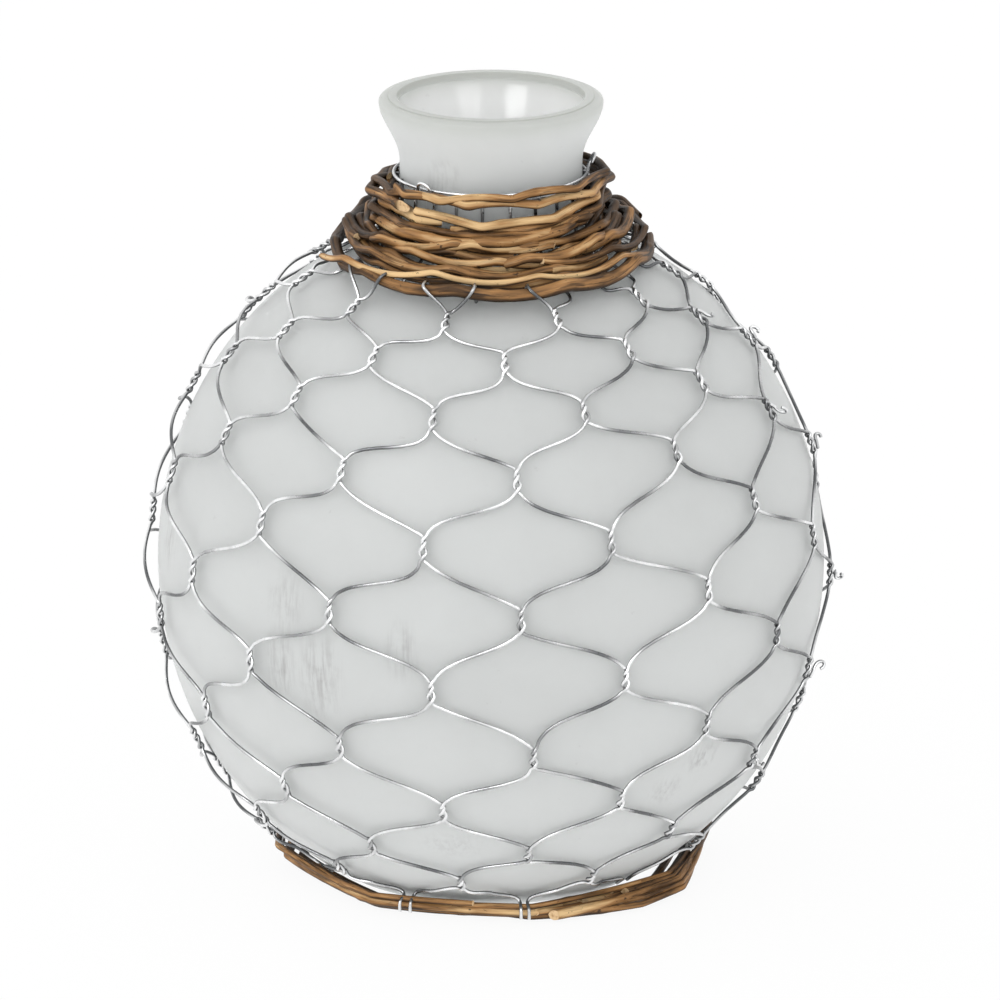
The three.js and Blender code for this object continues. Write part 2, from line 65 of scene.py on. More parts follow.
# Glass
BODY_RADIUS = 90.0
BODY_RISE = 94.5
BODY_DROP = 96.5
FOOT_RADIUS = 42.8
FOOT_CHAMFER = 1.2
FOOT_EDGE = 0.1
SHOULDER_FILLET = 12.0
WAIST_RADIUS = 24.35
WAIST_LENGTH = 10.5
FLARE_LENGTH = 16.9
FLARE_EASE = 1.25
LIP_RADIUS = 29.9
LIP_WIDTH = 4.9
LIP_ROUNDING = 1.8
LIP_CURVE = 0.75
BEAD_WIDTH = 2.4
BEAD_HEIGHT = 0.42
WALL = 3.5
FLOOR_HEIGHT = 7.0

# Painted shade at the lip, for thick glass seen edge-on: depth and strength, and width of its lines along
# the bead
LIP_SHADE_DEPTH = 7.0
LIP_SHADE_STRENGTH = 0.7
BEAD_SHADE_WIDTH = 0.12

# Steps of the glass outline
GLASS_SEGMENTS = 224
TANGENT_TRIES = 4000
BODY_STEPS = 240
FILLET_STEPS = 60
FLARE_STEPS = 60
LIP_STEPS = 14
BEAD_STEPS = 18
INNER_FLARE_STEPS = 25
INNER_WALL_STEPS = 119
LOWER_POINTS = 150
FOOT_POINTS = 60

# Netting
NET_WIRE = 0.5
GAP = 0.35
NET_GAP = 0.5
CHORD_SAG = 0.35
TWIST_GAP = 0.15
NET_CELLS = 11
NET_ROWS = 11
NET_TURN = -10.4
ROWS_ABOVE = 5.5
ROW_RISE = 1.45
ROW_STEP = 11.4
ROW_EASE = 0.04
TWIST_LENGTH = 6.4
HALF_TURNS = 3
SEAM_AZIMUTH = 85.0
SEAM_PULL = 4.0
NET_DIP = 1.7
NET_LEAN = 0.55
NECK_RUN = 0.25
NECK_STEPS = 5
NECK_GAP = 0.1
CELL = 360 / NET_CELLS
WIRE_SPACING = 0.5
WIRE_SIDES = 8

# A wire's crown faces off the middle of the globe, and from this height up turns level; its first side
# is laid out from a direction that rises
CROWN_FROM = 150.0
SIDE_RISE = 7.0

# A twist's quarter turns: share of its length, and width against the tight helix
TWIST_SHARE = np.array([0.0, 0.13, 0.27, 0.42, 0.67, 0.90, 1.0])
TWIST_WIDTH = np.array([1.0, 1.0, 0.8, 1.0, 1.5, 1.0, 1.0])

# Mesh sides: places where they are worked out, how much less they turn and more they drop next to a
# twist, and the least and most of that for sides that run down to the right and to the left
MESH_STATIONS = np.array([0.08, 0.2, 0.35, 0.5, 0.65, 0.8, 0.92])
MESH_TURN = 0.8
MESH_DROP = 0.9
OGEE_LEAST = (0.0, 0.35)
OGEE_MOST = (0.65, 1.15)

# Uneven hang: shift of the twists, and the slack of the jacket at the left
TWIST_SHIFT = 0.55
SLACK_AT = -88.0
SLACK_WIDTH = 42.0
SLACK_LIFT = 0.5
SLACK_BOW = 2.4
TIGHT_BOW = 0.9

# Near the seam, on the right, the wire has painted shade where less light falls, and the mesh sides are
# straighter
SEAM_SIDE_AT = 70.0
SEAM_SIDE_WIDTH = 38.0
SEAM_SHADE_SHARE = 0.45
STRAIGHT_SHARE = 0.55

# Painted highlight of the wire, for its reflections: in the meshes, in the twists, of ends and tie, and its
# waves along it
MESH_HIGHLIGHT = 0.55
TWIST_HIGHLIGHT = 0.5
TWIST_REACH = 1.6
TWIST_FADE = 1.2
END_HIGHLIGHT = 1.6
TIE_HIGHLIGHT = 1.1
LEAST_HIGHLIGHT = 0.03
HIGHLIGHT_WAVE = 0.7
HIGHLIGHT_LENGTHS = (9.5, 6.1)
HIGHLIGHT_START = 40

# Willow
ROD = 1.55
LAYER_GAP = 0.4
END_GAP = 7.0
INNER = dict(count=8, turns=1.056, gap=0.85, down=1.6, start=95, hand=-1, tilt=0.6, shift=0.9, overlap=0.0,
             seed=0, names=("inner_willow", "collar_rod"))
OUTER = dict(count=7, turns=0.9, gap=1.1, down=1.6, start=75, hand=1, tilt=2.0, shift=2.1, overlap=40.0,
             seed=20, names=("outer_willow", "collar_outer_rod"))
ABOVE_TIE = 3.0
LINE_STATIONS = 8
LINE_SPACING = 0.5
GATHER = 0.2
GATHER_WIDTH = 50.0
GATHER_AT = (-92.0, 92.0)
COLLAR_CORNERS = 10
COLLAR_TURN = 60.0
CORNER_SPREAD = 7.0
NECK_HOOK = (105, 45)
HOOK_STEP = 60.0
HOOK_FROM = -60.0
HOOK_TO = 20.0
ROD_SIDES = 18
ROD_SPACING = 0.7
ROD_STEP = 1.2
ROD_TAPER = (1.0, 0.72)
ROD_SIZES = (0.66, 1.12)
ROD_TONES = (0.02, 0.85)
ROD_CUTS = (-2.4, 2.4)
ROD_CREASE = 50
ROUNDING = 2

# Laying of the rods: greatest lift, the share of it left low on the collar, and how far a rod is lifted
# from the mean towards the most that its side needs
MOST_LIFT = 4.4
LIMBER = 0.5
LOOSENESS = 0.4
LIFT_PASSES = 3

# Thin rods woven across the collar: azimuth, run, place on the collar at both ends, and hand
WEAVERS = (
    (-150.0, 150.0, 0.42, 0.66, 1),
    (-58.0, 205.0, 0.55, 0.86, 1),
    (20.0, 165.0, 0.34, 0.52, -1),
    (-12.0, 215.0, 0.72, 0.97, 1),
    (115.0, 175.0, 0.36, 0.50, 1),
    (-72.0, 135.0, 0.28, 0.40, 1),
    (-110.0, 140.0, 0.80, 0.62, 1),
)
WEAVER_SIZE = 0.8
WEAVER_TAPER = (1.0, 0.7)
WEAVER_SHIFT = 0.9
WEAVER_SEED = 60

# Buds, ridges and flats of a rod: heights are shares of its radius, lengths lie along it
BUDS = 20
BUD_STEPS = (14, 34)
BUD_WIDTH = 1.6
BUD_SWELL = 0.05
BUD_KNOT = 0.16
RIDGES = (0.022, 5, 14), (0.018, 8, -23)
FLATS = (0.05, 40)
SWELLS = (0.035, 5.5)

# Tone of a rod: waves along it, painted shade at the sides and back, and the rise of the side free of
# painted shade
TONE_WAVES = (1, 0.16, 15), (2, 0.10, 6.3)
SIDE_SHADE = 0.72
LIT_SIDE_RISE = 0.7
SEED_LENGTH = 500

# Base hoop
HOOP_GAP = 0.6
HOOP_KINK = 2.8
HOOP_CORNERS = 8
HOOP_TURN = 11.0
HOOP_ENDS = (-96.0, 24.0)
HOOP_SIZE = 0.84
HOOP_TAPER = 0.8
HOOP_TONES = (0.25, 0.75)
HOOP_CUTS = (0.9, 0.3)
HOOP_SEED = 40
HOOP_STATIONS = 140
BRACE_FROM = 17.0
BRACE_TO = 94.0
BRACE_GAP = 0.3
BRACE_SLOPES = (-14.0, 50.0)
BRACE_BULGE = 1.6
BRACE_TAPER = 0.25
BRACE_STATIONS = 80
BRACE_SEED = 9
FOOT_HOOK = (5, 60, 110)
HOOKED_PAIRS = (1, 3, 5, 6, 10)
PAIR_GAP = 1.4
HOOK_REACH = 0.85
TUCK_REACH = (0.75, 0.6, 0.45)

# Split strands on the hoop: azimuth, run, rise from the lower to the upper rod at both ends, stand-off,
# and how far a corner near the middle bows out
HOOP_SPLITS = (
    (-98.0, 66.0, 2.7, 1.3, -1.2, 0.0),
    (-80.0, 75.0, 1.7, 2.0, -1.8, 0.0),
    (-74.0, 62.0, 0.9, 0.3, 0.4, 0.0),
    (-36.0, 66.0, 0.1, 0.7, 0.3, 0.0),
    (-12.0, 58.0, 1.5, 2.1, -1.8, 0.0),
    (34.0, 62.0, 0.3, 1.9, 0.8, 0.0),
    (40.0, 56.0, 1.6, 2.6, 0.4, 0.0),
    (36.0, 62.0, 1.8, 2.5, -1.8, 0.0),
    (12.0, 60.0, 1.0, 0.6, 0.6, 2.6),
    (5.0, 86.0, 0.0, 1.4, 0.2, 9.0),
    (16.0, 66.0, 0.2, 2.2, 0.8, 5.4),
    (150.0, 90.0, 0.4, 1.2, 0.3, 0.0),
    (-170.0, 70.0, 1.3, 2.0, 0.0, 0.0),
)
BOW_AT = 0.42
SPLIT_SIZE = 0.66
SPLIT_HEIGHT = 0.8
SPLIT_SEED = 20

# Ties
TIE_HEIGHT = 6.5
TIE_GAP = 0.7
TIE_FROM = -41.0
TIE_TURNS = 1.37
TIE_STATIONS = 60
TIE_SIDES = 10
TIE_LOOP = 2.1
TIE_LEAN = 0.45
TIE_SEAT = 1.55
TIE_BEND = (45, 90, 135, 180, 225, 270)
WIRE_END_ABOVE_TIE = 1.6

# Seam ends: row and azimuth of their twists, the shank along and across a twist, and the hook's bends
SEAM_TWISTS = ((1, 71), (2, 88), (3, 71), (4, 88), (6, 88), (7, 71), (8, 55))
SHANK_ALONG = np.array([1.4, 0.2, -1.0])
SHANK_ACROSS = np.array([-1.2, 0.0, 0.6])
END_LEAN = 20
END_BEND = 40
END_SWEEP = (220, 250, 280)
END_RADIUS = 0.8
END_GROWTH = 0.2
END_SPACING = 0.3


# Outline of the glass


def unit(vectors):
    """Vectors of length 1 along the last axis."""
    return vectors / np.linalg.norm(vectors, axis=-1, keepdims=True)


def path_length(path):
    """Distance along a path of each of its points."""
    return np.concatenate([[0], np.cumsum(np.linalg.norm(np.diff(path, axis=0), axis=1))])


def columns_at(value, values, columns):
    """Interpolates each of two columns at a value."""
    return np.stack([np.interp(value, values, columns[:, i]) for i in (0, 1)], axis=-1)


def wrapped(azimuth):
    """Azimuth from -180 to 180."""
    return np.mod(azimuth + 180, 360) - 180


def bell(off, width):
    """Bell curve: 1 in the middle, and less the farther off."""
    return np.exp(-((off / width) ** 2))


def body_point(angle):
    """Radius and height on the body: two half ellipses that meet at the widest circle."""
    half = np.where(angle < 0, BODY_DROP, BODY_RISE)
    return np.stack([BODY_RADIUS * np.cos(angle), BODY_MIDDLE + half * np.sin(angle)], axis=-1)


def arc(centre, radius, start, end, steps):
    """Points of a circular arc between two angles."""
    angle = np.linspace(start, end, steps + 1)
    return np.asarray(centre) + radius * np.stack([np.cos(angle), np.sin(angle)], axis=-1)


def flare_share(t):
    """Smoothstep of a share raised to a power, so that the flare starts slender."""
    eased = t**FLARE_EASE
    return eased * eased * (3 - 2 * eased)


BODY_MIDDLE = BODY_DROP * np.sqrt(1 - (FOOT_RADIUS / BODY_RADIUS) ** 2)


def outer_wall():
    """Radius and height from the foot chamfer up to the lip: ellipses, shoulder fillet, waist, flare.

    The fillet touches the upper ellipse where its centre stands one fillet radius off the waist.
    """
    angles = np.linspace(0, np.pi / 2, TANGENT_TRIES)
    normals = unit(np.stack([np.cos(angles) / BODY_RADIUS, np.sin(angles) / BODY_RISE], axis=-1))
    centres = body_point(angles) + SHOULDER_FILLET * normals
    tangent = np.interp(-(WAIST_RADIUS + SHOULDER_FILLET), -centres[:, 0], np.arange(len(angles)))
    tangent = int(round(tangent))
    foot = np.arcsin((FOOT_CHAMFER - BODY_MIDDLE) / BODY_DROP)
    body = body_point(np.linspace(foot, angles[tangent], BODY_STEPS + 1)[:-1])
    centre = np.array([WAIST_RADIUS + SHOULDER_FILLET, centres[tangent, 1]])
    start = np.arctan2(-normals[tangent, 1], -normals[tangent, 0])
    fillet = arc(centre, SHOULDER_FILLET, start, -np.pi, FILLET_STEPS)
    t = np.linspace(0, 1, FLARE_STEPS + 1)
    radius = WAIST_RADIUS + (LIP_RADIUS - WAIST_RADIUS) * flare_share(t)
    flare = np.stack([radius, centre[1] + WAIST_LENGTH + FLARE_LENGTH * t], axis=-1)
    return np.concatenate([body, fillet, flare]), centre[1]


OUTLINE, WAIST_FOOT = outer_wall()
ALONG = path_length(OUTLINE)
RUN = unit(np.gradient(OUTLINE, ALONG, axis=0))
LIP_HEIGHT = OUTLINE[-1, 1]


def on_glass(distance, lift=0.0):
    """Radius and height at a distance along the wall, lifted along the wall's normal."""
    distance = np.asarray(distance, float)
    point = columns_at(distance, ALONG, OUTLINE)
    run = unit(columns_at(distance, ALONG, RUN))
    return np.stack([point[..., 0] + lift * run[..., 1], point[..., 1] - lift * run[..., 0]], axis=-1)


def along_at_height(height):
    """Distance along the wall of a height."""
    return np.interp(height, OUTLINE[:, 1], ALONG)


def around(point, azimuth):
    """Point in space of a radius and height at an azimuth."""
    a = np.radians(azimuth)
    radius, height = np.moveaxis(np.asarray(point, float), -1, 0)
    return np.stack([radius * np.sin(a), -radius * np.cos(a), height + 0 * a], axis=-1)


def outward(azimuth):
    """Level direction away from the axis at an azimuth."""
    a = np.radians(np.asarray(azimuth, float))
    return np.stack([np.sin(a), -np.cos(a), 0 * a], axis=-1)


def glass_outline():
    """Closed outline of the glass from the middle of the foot round to the middle of the floor inside.

    The inner wall is the outer one set in by the glass thickness, which grows to the width of the lip
    along the flare. The lip's top is a quarter ellipse that ends at a bead on its inner edge. Also
    returns the number of points up to the inner edge of the lip, and the painted shade at each point:
    the lip darkened as thick glass seen edge-on, and most of all two lines of painted groove shade
    along the bead.
    """
    foot = np.array([[0, 0], [FOOT_RADIUS - 2 * FOOT_CHAMFER, 0],
                     [FOOT_RADIUS - 1.5 * FOOT_CHAMFER, FOOT_EDGE]])
    turn = np.linspace(0, np.pi / 2, LIP_STEPS + 1)[1:]
    top = LIP_HEIGHT + LIP_ROUNDING - BEAD_HEIGHT
    slope = LIP_WIDTH - BEAD_WIDTH
    outer_lip = np.stack([LIP_RADIUS - slope * (1 - np.cos(turn)),
                          LIP_HEIGHT + (top - LIP_HEIGHT) * np.sin(turn) ** LIP_CURVE], axis=-1)
    turn = np.linspace(0, np.pi, BEAD_STEPS + 1)[1:]
    middle = LIP_RADIUS - LIP_WIDTH + BEAD_WIDTH / 2
    bead = np.stack([middle + BEAD_WIDTH / 2 * np.cos(turn),
                     top + BEAD_HEIGHT * np.sqrt(np.clip(np.sin(turn), 0, 1))], axis=-1)
    flare_start = along_at_height(LIP_HEIGHT - FLARE_LENGTH)
    t = np.linspace(1, 0, INNER_FLARE_STEPS + 1)[2:]
    depth = WALL + (LIP_WIDTH - WALL) * flare_share(t)
    flare = on_glass(flare_start + (ALONG[-1] - flare_start) * t, -depth)
    lower = ALONG[:LOWER_POINTS]
    floor_start = np.interp(FLOOR_HEIGHT, on_glass(lower, -WALL)[:, 1], lower)
    inside = on_glass(np.linspace(flare_start, floor_start, INNER_WALL_STEPS + 1)[1:], -WALL)
    floor = np.array([[0, inside[-1, 1]]])
    shown = np.concatenate([foot, OUTLINE[::2], outer_lip, bead])
    outline = np.concatenate([shown, flare, inside, floor])
    # Painted shade: the lip darkened as thick glass seen edge-on, strongest in two groove-shade lines at
    # the bead
    thick = LIP_SHADE_STRENGTH * np.clip((outline[:, 1] - LIP_HEIGHT) / LIP_SHADE_DEPTH + 1, 0, 1) ** 2
    lines = np.abs(np.abs(outline[:, 0] - middle) - BEAD_WIDTH / 2) < BEAD_SHADE_WIDTH
    thick[lines & (outline[:, 1] > LIP_HEIGHT)] = 1.0
    return outline, len(shown), thick


# Surfaces


def revolve(outline, segments):
    """Surface of revolution: each outline point becomes a ring, and the two ends on the axis a pole."""
    angle = np.arange(segments) * (360 / segments)
    rings = around(outline[1:-1, None, :], angle[None, :]).reshape(-1, 3)
    poles = around(outline[[0, -1]], np.zeros(2))
    count = len(outline) - 2
    return np.concatenate([rings, poles]), ring_quads(count, segments), pole_tris(count, segments)


def ring_quads(rings, sides):
    """Faces between neighbouring rings of points, in order along the rings."""
    i = np.arange(rings - 1)[:, None] * sides
    k = np.arange(sides)[None, :]
    n = (k + 1) % sides
    return np.stack([i + k, i + n, i + sides + n, i + sides + k], axis=-1).reshape(-1, 4)


def pole_tris(rings, sides):
    """Fans from the first and last rings to the two pole vertices that follow the rings."""
    k = np.arange(sides)
    n = (k + 1) % sides
    first = np.full(sides, rings * sides)
    last = (rings - 1) * sides
    start = np.stack([first, n, k], axis=-1)
    end = np.stack([first + 1, last + k, last + n], axis=-1)
    return np.concatenate([start, end])


def smooth_path(points, spacing):
    """Cubic curve through points, by the length of the chords, sampled at an even spacing.

    At each point the slope is that of the parabola through it and its two neighbours.
    """
    reach = path_length(points)
    chord = np.linalg.norm(np.diff(points, axis=0), axis=1)
    slope = np.gradient(points, reach, axis=0)
    s = np.linspace(0, reach[-1], max(int(reach[-1] / spacing), 4) + 1)
    i = np.clip(np.searchsorted(reach, s, side="right") - 1, 0, len(chord) - 1)
    h = chord[i][:, None]
    t = (s[:, None] - reach[i][:, None]) / h
    start = (2 * t**3 - 3 * t**2 + 1) * points[i] + (t**3 - 2 * t**2 + t) * h * slope[i]
    end = (3 * t**2 - 2 * t**3) * points[i + 1] + (t**3 - t**2) * h * slope[i + 1]
    return start + end


def carried_sides(path, reference):
    """Directions across a path that turn with it and never twist about it.

    The reference less its share along the path gives a first direction. What that turns about the
    path from point to point is summed up and taken back.
    """
    run = unit(np.gradient(path, axis=0))
    side = unit(reference - np.sum(reference * run, axis=1, keepdims=True) * run)
    axis = np.cross(run[:-1], run[1:])
    cosine = np.sum(run[:-1] * run[1:], axis=1, keepdims=True)
    lean = np.sum(axis * side[:-1], axis=1, keepdims=True) / (1 + cosine)
    carried = cosine * side[:-1] + np.cross(axis, side[:-1]) + lean * axis
    sine = np.sum(np.cross(run[1:], carried) * side[1:], axis=1)
    twist = np.arctan2(sine, np.sum(carried * side[1:], axis=1))
    turned = np.concatenate([[0], np.cumsum(twist)])[:, None]
    across = np.cross(run, side)
    side = side * np.cos(turned) - across * np.sin(turned)
    return run, side, np.cross(run, side)


def sweep(path, radius, reference, cuts=(0.0, 0.0)):
    """Closed tube: a ring of points round each point of the path, and a pole at each end.

    radius holds a value for each ring and side. A cut tilts an end: its first side is set back along
    the path by the cut times the radius.
    """
    run, side, across = carried_sides(path, reference)
    sides = radius.shape[1]
    angle = np.arange(sides) * (2 * np.pi / sides)
    spread = side[:, None, :] * np.cos(angle)[:, None] + across[:, None, :] * np.sin(angle)[:, None]
    rings = path[:, None, :] + radius[:, :, None] * spread
    for end, cut in ((0, cuts[0]), (-1, -cuts[1])):
        rings[end] += (cut * radius[end] * np.cos(angle))[:, None] * run[end]
    vertices = np.concatenate([rings.reshape(-1, 3), path[[0, -1]]])
    return vertices, ring_quads(len(path), sides), pole_tris(len(path), sides)


def facing(vertices, path, towards):
    """How squarely each vertex of a tube faces a direction given at each point of its path, -1 to 1."""
    rings = vertices[:-2].reshape(len(path), -1, 3)
    cosine = np.sum(unit(rings - path[:, None, :]) * towards[:, None, :], axis=-1).ravel()
    return np.concatenate([cosine, [0.0, 0.0]])


def with_poles(values):
    """Values of a tube's vertices, with those of its first and last vertices given to its poles."""
    return np.concatenate([values, values[[0, -1]]])


def new_piece(name, surface, materials, node, face_slots=None, attributes=None, crease=CREASE):
    """Mesh object of a surface, which stands for a solid of the frame where there is one."""
    vertices, quads, tris = surface
    mesh = bpy.data.meshes.new(name)
    mesh.from_pydata((vertices * MM).tolist(), [], quads.tolist() + tris.tolist())
    mesh.polygons.foreach_set("use_smooth", np.ones(len(mesh.polygons), bool))
    mesh.set_sharp_from_angle(angle=np.radians(crease))
    for material in materials:
        mesh.materials.append(material)
    if face_slots is not None:
        mesh.polygons.foreach_set("material_index", face_slots)
    for label, values in (attributes or {}).items():
        vector = values.ndim == 2
        held = mesh.attributes.new(label, "FLOAT_VECTOR" if vector else "FLOAT", "POINT")
        held.data.foreach_set("vector" if vector else "value", values.astype(np.float32).ravel())
    mesh.update()
    piece = bpy.data.objects.new(name, mesh)
    bpy.context.scene.collection.objects.link(piece)
    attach(piece, "root")
    if node:
        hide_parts(node)
    return piece


# Netting lines

TWIST_RADIUS = (NET_WIRE + TWIST_GAP / 2) / np.cos(np.pi / 4)
NET_LIFT = TWIST_RADIUS + NET_WIRE + NET_GAP
RUN_LIFT = NET_WIRE + GAP
TIE_LIFT = RUN_LIFT + 2 * NET_WIRE + GAP + CHORD_SAG
ROD_LIFT = RUN_LIFT + NET_WIRE + GAP + CHORD_SAG + ROD
HOOK = ROD + NET_WIRE + GAP + CHORD_SAG / 2
TIE_ALONG = along_at_height(WAIST_FOOT + TIE_HEIGHT)


def row_along(row, azimuth):
    """Distance along the glass of a row of twists: even steps on the ellipse that close up towards
    neck and foot, drawn up towards the seam and hanging down at the front."""
    k = ROWS_ABOVE - row
    angle = np.radians(ROW_RISE + ROW_STEP * k - ROW_EASE * k**3)
    pull = ((1 + np.cos(np.radians(azimuth - SEAM_AZIMUTH))) / 2) ** 2
    rise = SEAM_PULL * pull * np.cos(angle) ** 2
    return along_at_height(body_point(angle)[..., 1]) + rise - NET_DIP * np.cos(np.radians(azimuth))


def row_turn(row):
    """Azimuth of a row's first twist, half a mesh on in every other row."""
    return NET_TURN + NET_LEAN * (row - NET_ROWS / 2) + (row % 2) * CELL / 2


def corner_share(azimuth, corners, turn):
    """Stand-off of a stiff rod that bends at corners: 0 in the middle of a straight, 1 at a corner."""
    half = 180 / corners
    off = np.mod(azimuth - turn, 2 * half) - half
    return (1 / np.cos(np.radians(off)) - 1) / (1 / np.cos(np.radians(half)) - 1)


# Collar lines


def rod_layer(rods, number):
    """A layer of rods with the line, in radius and height, that its turns climb past the neck tie."""
    layer = SimpleNamespace(**rods)
    distance = np.linspace(row_along(0, 0.0) - TWIST_LENGTH, TIE_ALONG + ABOVE_TIE, LINE_STATIONS + 1)
    under = np.full(len(distance), RUN_LIFT)
    under[distance < row_along(0, 180.0) + TWIST_LENGTH / 2 + ROD] = NET_LIFT + TWIST_RADIUS
    under[distance > TIE_ALONG - 2 * ROD] = TIE_LIFT
    lift = number * (2 * ROD + LAYER_GAP) + under + NET_WIRE + GAP + CHORD_SAG + ROD
    layer.line = smooth_path(on_glass(distance, lift), LINE_SPACING)
    layer.reach = path_length(layer.line)
    layer.climb = unit(np.gradient(layer.line, layer.reach, axis=0))
    layer.pitch = 2 * ROD + layer.gap
    layer.wound = 360 * layer.count * layer.turns
    layer.outer = number > 0
    return layer


def spread_at(azimuth):
    """Share of their full spread that the turns keep at an azimuth: less at the two sides."""
    off = np.stack([wrapped(azimuth - side) for side in GATHER_AT])
    return 1 - GATHER * np.sum(bell(off, GATHER_WIDTH), axis=0)


def collar_at(layer, number, wound):
    """Distance along the inner layer's line of a rod, by the angle wound from below.

    A rod lies as far under the tie as the turns above it take, less the tilt of the layer. The first
    inner rod leaves room for the hooked wires.
    """
    azimuth = layer.start + layer.hand * wound
    room = 0.0 if layer.outer or number > 0 else max(0.0, 2 * HOOK + GAP - layer.pitch)
    below = layer.down + layer.pitch * (layer.wound - wound) / 360 + room
    at = layer.reach[-1] - below * spread_at(azimuth) + layer.tilt * np.sin(np.radians(azimuth))
    return at * INNER_LAYER.reach[-1] / layer.reach[-1]


def on_collar(at):
    """Point, climb and outward direction (radius, height) of the inner layer's line."""
    point = columns_at(at, INNER_LAYER.reach, INNER_LAYER.line)
    climb = unit(columns_at(at, INNER_LAYER.reach, INNER_LAYER.climb))
    return point, climb, np.stack([climb[..., 1], -climb[..., 0]], axis=-1)


INNER_LAYER = rod_layer(INNER, 0)
OUTER_LAYER = rod_layer(OUTER, 1)
FOOT_WALL = ALONG[:FOOT_POINTS]
LOWER_ALONG = np.interp(ROD + GAP, on_glass(FOOT_WALL, ROD + GAP)[:, 1], FOOT_WALL)
LOWER_ROD = on_glass(LOWER_ALONG, ROD + GAP)
UPPER_ROD = on_glass(LOWER_ALONG + 2 * ROD + HOOP_GAP, ROD_LIFT)


def hoop_kink(azimuth):
    """How far the hoop's rods stand out at an azimuth: most at the corners."""
    return HOOP_KINK * corner_share(azimuth, HOOP_CORNERS, HOOP_TURN)


# Settings


def colour_setting(name, description, default):
    """Setting that holds a colour."""
    return FloatVectorProperty(name=name, description=description, subtype="COLOR", size=4, min=0, max=1,
                               default=(*default, 1))


def share_setting(name, description, default):
    """Setting that holds a share, 0 to 1."""
    return FloatProperty(name=name, description=description, subtype="FACTOR", min=0, max=1,
                         default=default)


def length_setting(name, description, default, least=0.0):
    """Setting that holds a length: given here in millimetres, kept in metres."""
    return FloatProperty(name=name, description=description, unit="LENGTH", subtype="DISTANCE",
                         min=least * MM, default=default * MM)


class BottleGlassSettings(PropertyGroup):
    """Finish of the glass."""

    tint: colour_setting("Tint", "Colour of the frosted glass", (0.745, 0.766, 0.759))
    # Inside: the glass colour made lighter than the tint, painted light that brightens the inner neck
    inside: colour_setting("Inside", "Colour of the plain inside", (0.92, 0.932, 0.922))
    # Colour of the painted shade at the lip and in the lines along the bead, standing in for thick glass
    # seen edge-on
    lip: colour_setting("Lip", "Colour of the thick glass at the lip", (0.46, 0.475, 0.44))
    scuff: colour_setting("Scuffs", "Colour of rubbed grey marks", (0.30, 0.285, 0.285))
    frost: share_setting("Frost", "Roughness of the etched outside", 0.55)
    polish: share_setting("Polish", "Roughness of the plain inside", 0.14)
    milk: share_setting("Milk", "Share of the light that scatters in the wall", 0.7)
    scatter: length_setting("Scatter", "How far light spreads in the wall", 16)
    clearness: share_setting("Clearness", "Share of the light that passes through", 0.32)


class BottleWireSettings(PropertyGroup):
    """Size and finish of the galvanised wire."""

    radius: length_setting("Radius", "Half the thickness of the netting wire", 0.46, 0.1)
    twist: length_setting("Twist", "Radius of the helix that two wires form in a twist", 0.56, 0.1)
    # Colours of the painted highlight along the wire's crown and of the painted shade at its sides
    bright: colour_setting("Bright zinc", "Colour of the rubbed crown of the wire", (0.95, 0.955, 0.96))
    painted_shade_zinc: colour_setting("Dull zinc", "Colour of the weathered sides of the wire", (0.13, 0.135, 0.14))


class BottleWillowSettings(PropertyGroup):
    """Size and finish of the willow rods."""

    radius: length_setting("Radius", "Half the thickness of a middling rod at its butt", 1.62, 0.5)
    kink: length_setting("Kink", "How far a collar rod's corners stand off", 2.1)
    pale: colour_setting("Pale bark", "Lightest bark", (0.72, 0.49, 0.245))
    warm: colour_setting("Warm bark", "Orange-brown bark", (0.37, 0.188, 0.068))
    dark: colour_setting("Dark bark", "Grey-brown bark", (0.075, 0.038, 0.015))
    cut: colour_setting("Cut wood", "Fresh wood at the rods' ends", (0.72, 0.50, 0.27))


class BottleStageSettings(PropertyGroup):
    """Floor, light and camera."""

    ambient: FloatProperty(
        name="Ambient", description="Strength of the light from all round", min=0, default=1.17)
    key: FloatProperty(
        name="Key light", description="Power of the large light at the upper left", unit="POWER",
        min=0, default=1.6)
    strip: FloatProperty(
        name="Strip lights", description="Power of the right of two lights seen in highlights",
        unit="POWER", min=0, default=4.6)
    table: FloatProperty(
        name="Lit table", description="Strength of the light from the floor", min=0, default=2.0)
    floor_light: share_setting("White floor", "Share of the floor that shows as plain white", 0.93)


# Materials


def feed(tree, made, inputs):
    """Gives a node its inputs by name or number: values, or sockets to link."""
    for label, value in inputs.items():
        if isinstance(value, bpy.types.NodeSocket):
            tree.links.new(value, made.inputs[label])
        else:
            made.inputs[label].default_value = value


def add_node(tree, kind, inputs=None, **settings):
    """New shader node with its settings and inputs."""
    made = tree.nodes.new(kind)
    for label, value in settings.items():
        setattr(made, label, value)
    feed(tree, made, inputs or {})
    return made


def maths(tree, operation, *values, **settings):
    """Result of a calculation on values or sockets."""
    inputs = dict(enumerate(values))
    return add_node(tree, "ShaderNodeMath", inputs, operation=operation, **settings).outputs[0]


def map_range(tree, value, span=(0.0, 1.0), result=(0.0, 1.0), kind="LINEAR"):
    """A value taken from one span to another."""
    inputs = {"Value": value, "From Min": span[0], "From Max": span[1],
              "To Min": result[0], "To Max": result[1]}
    return add_node(tree, "ShaderNodeMapRange", inputs, interpolation_type=kind).outputs[0]


def noise(tree, place, scale, detail=2.0, roughness=0.5):
    """Cloudy noise."""
    inputs = {"Vector": place, "Scale": scale, "Detail": detail, "Roughness": roughness}
    return add_node(tree, "ShaderNodeTexNoise", inputs).outputs[0]


def stretched(tree, place, scale):
    """A place drawn out along its third axis."""
    return add_node(tree, "ShaderNodeMapping", {"Vector": place, "Scale": (1.0, 1.0, scale)}).outputs[0]


def bump(tree, height, strength, distance):
    """Normal of a bumpy surface."""
    inputs = {"Height": height, "Strength": strength, "Distance": distance}
    return add_node(tree, "ShaderNodeBump", inputs).outputs[0]


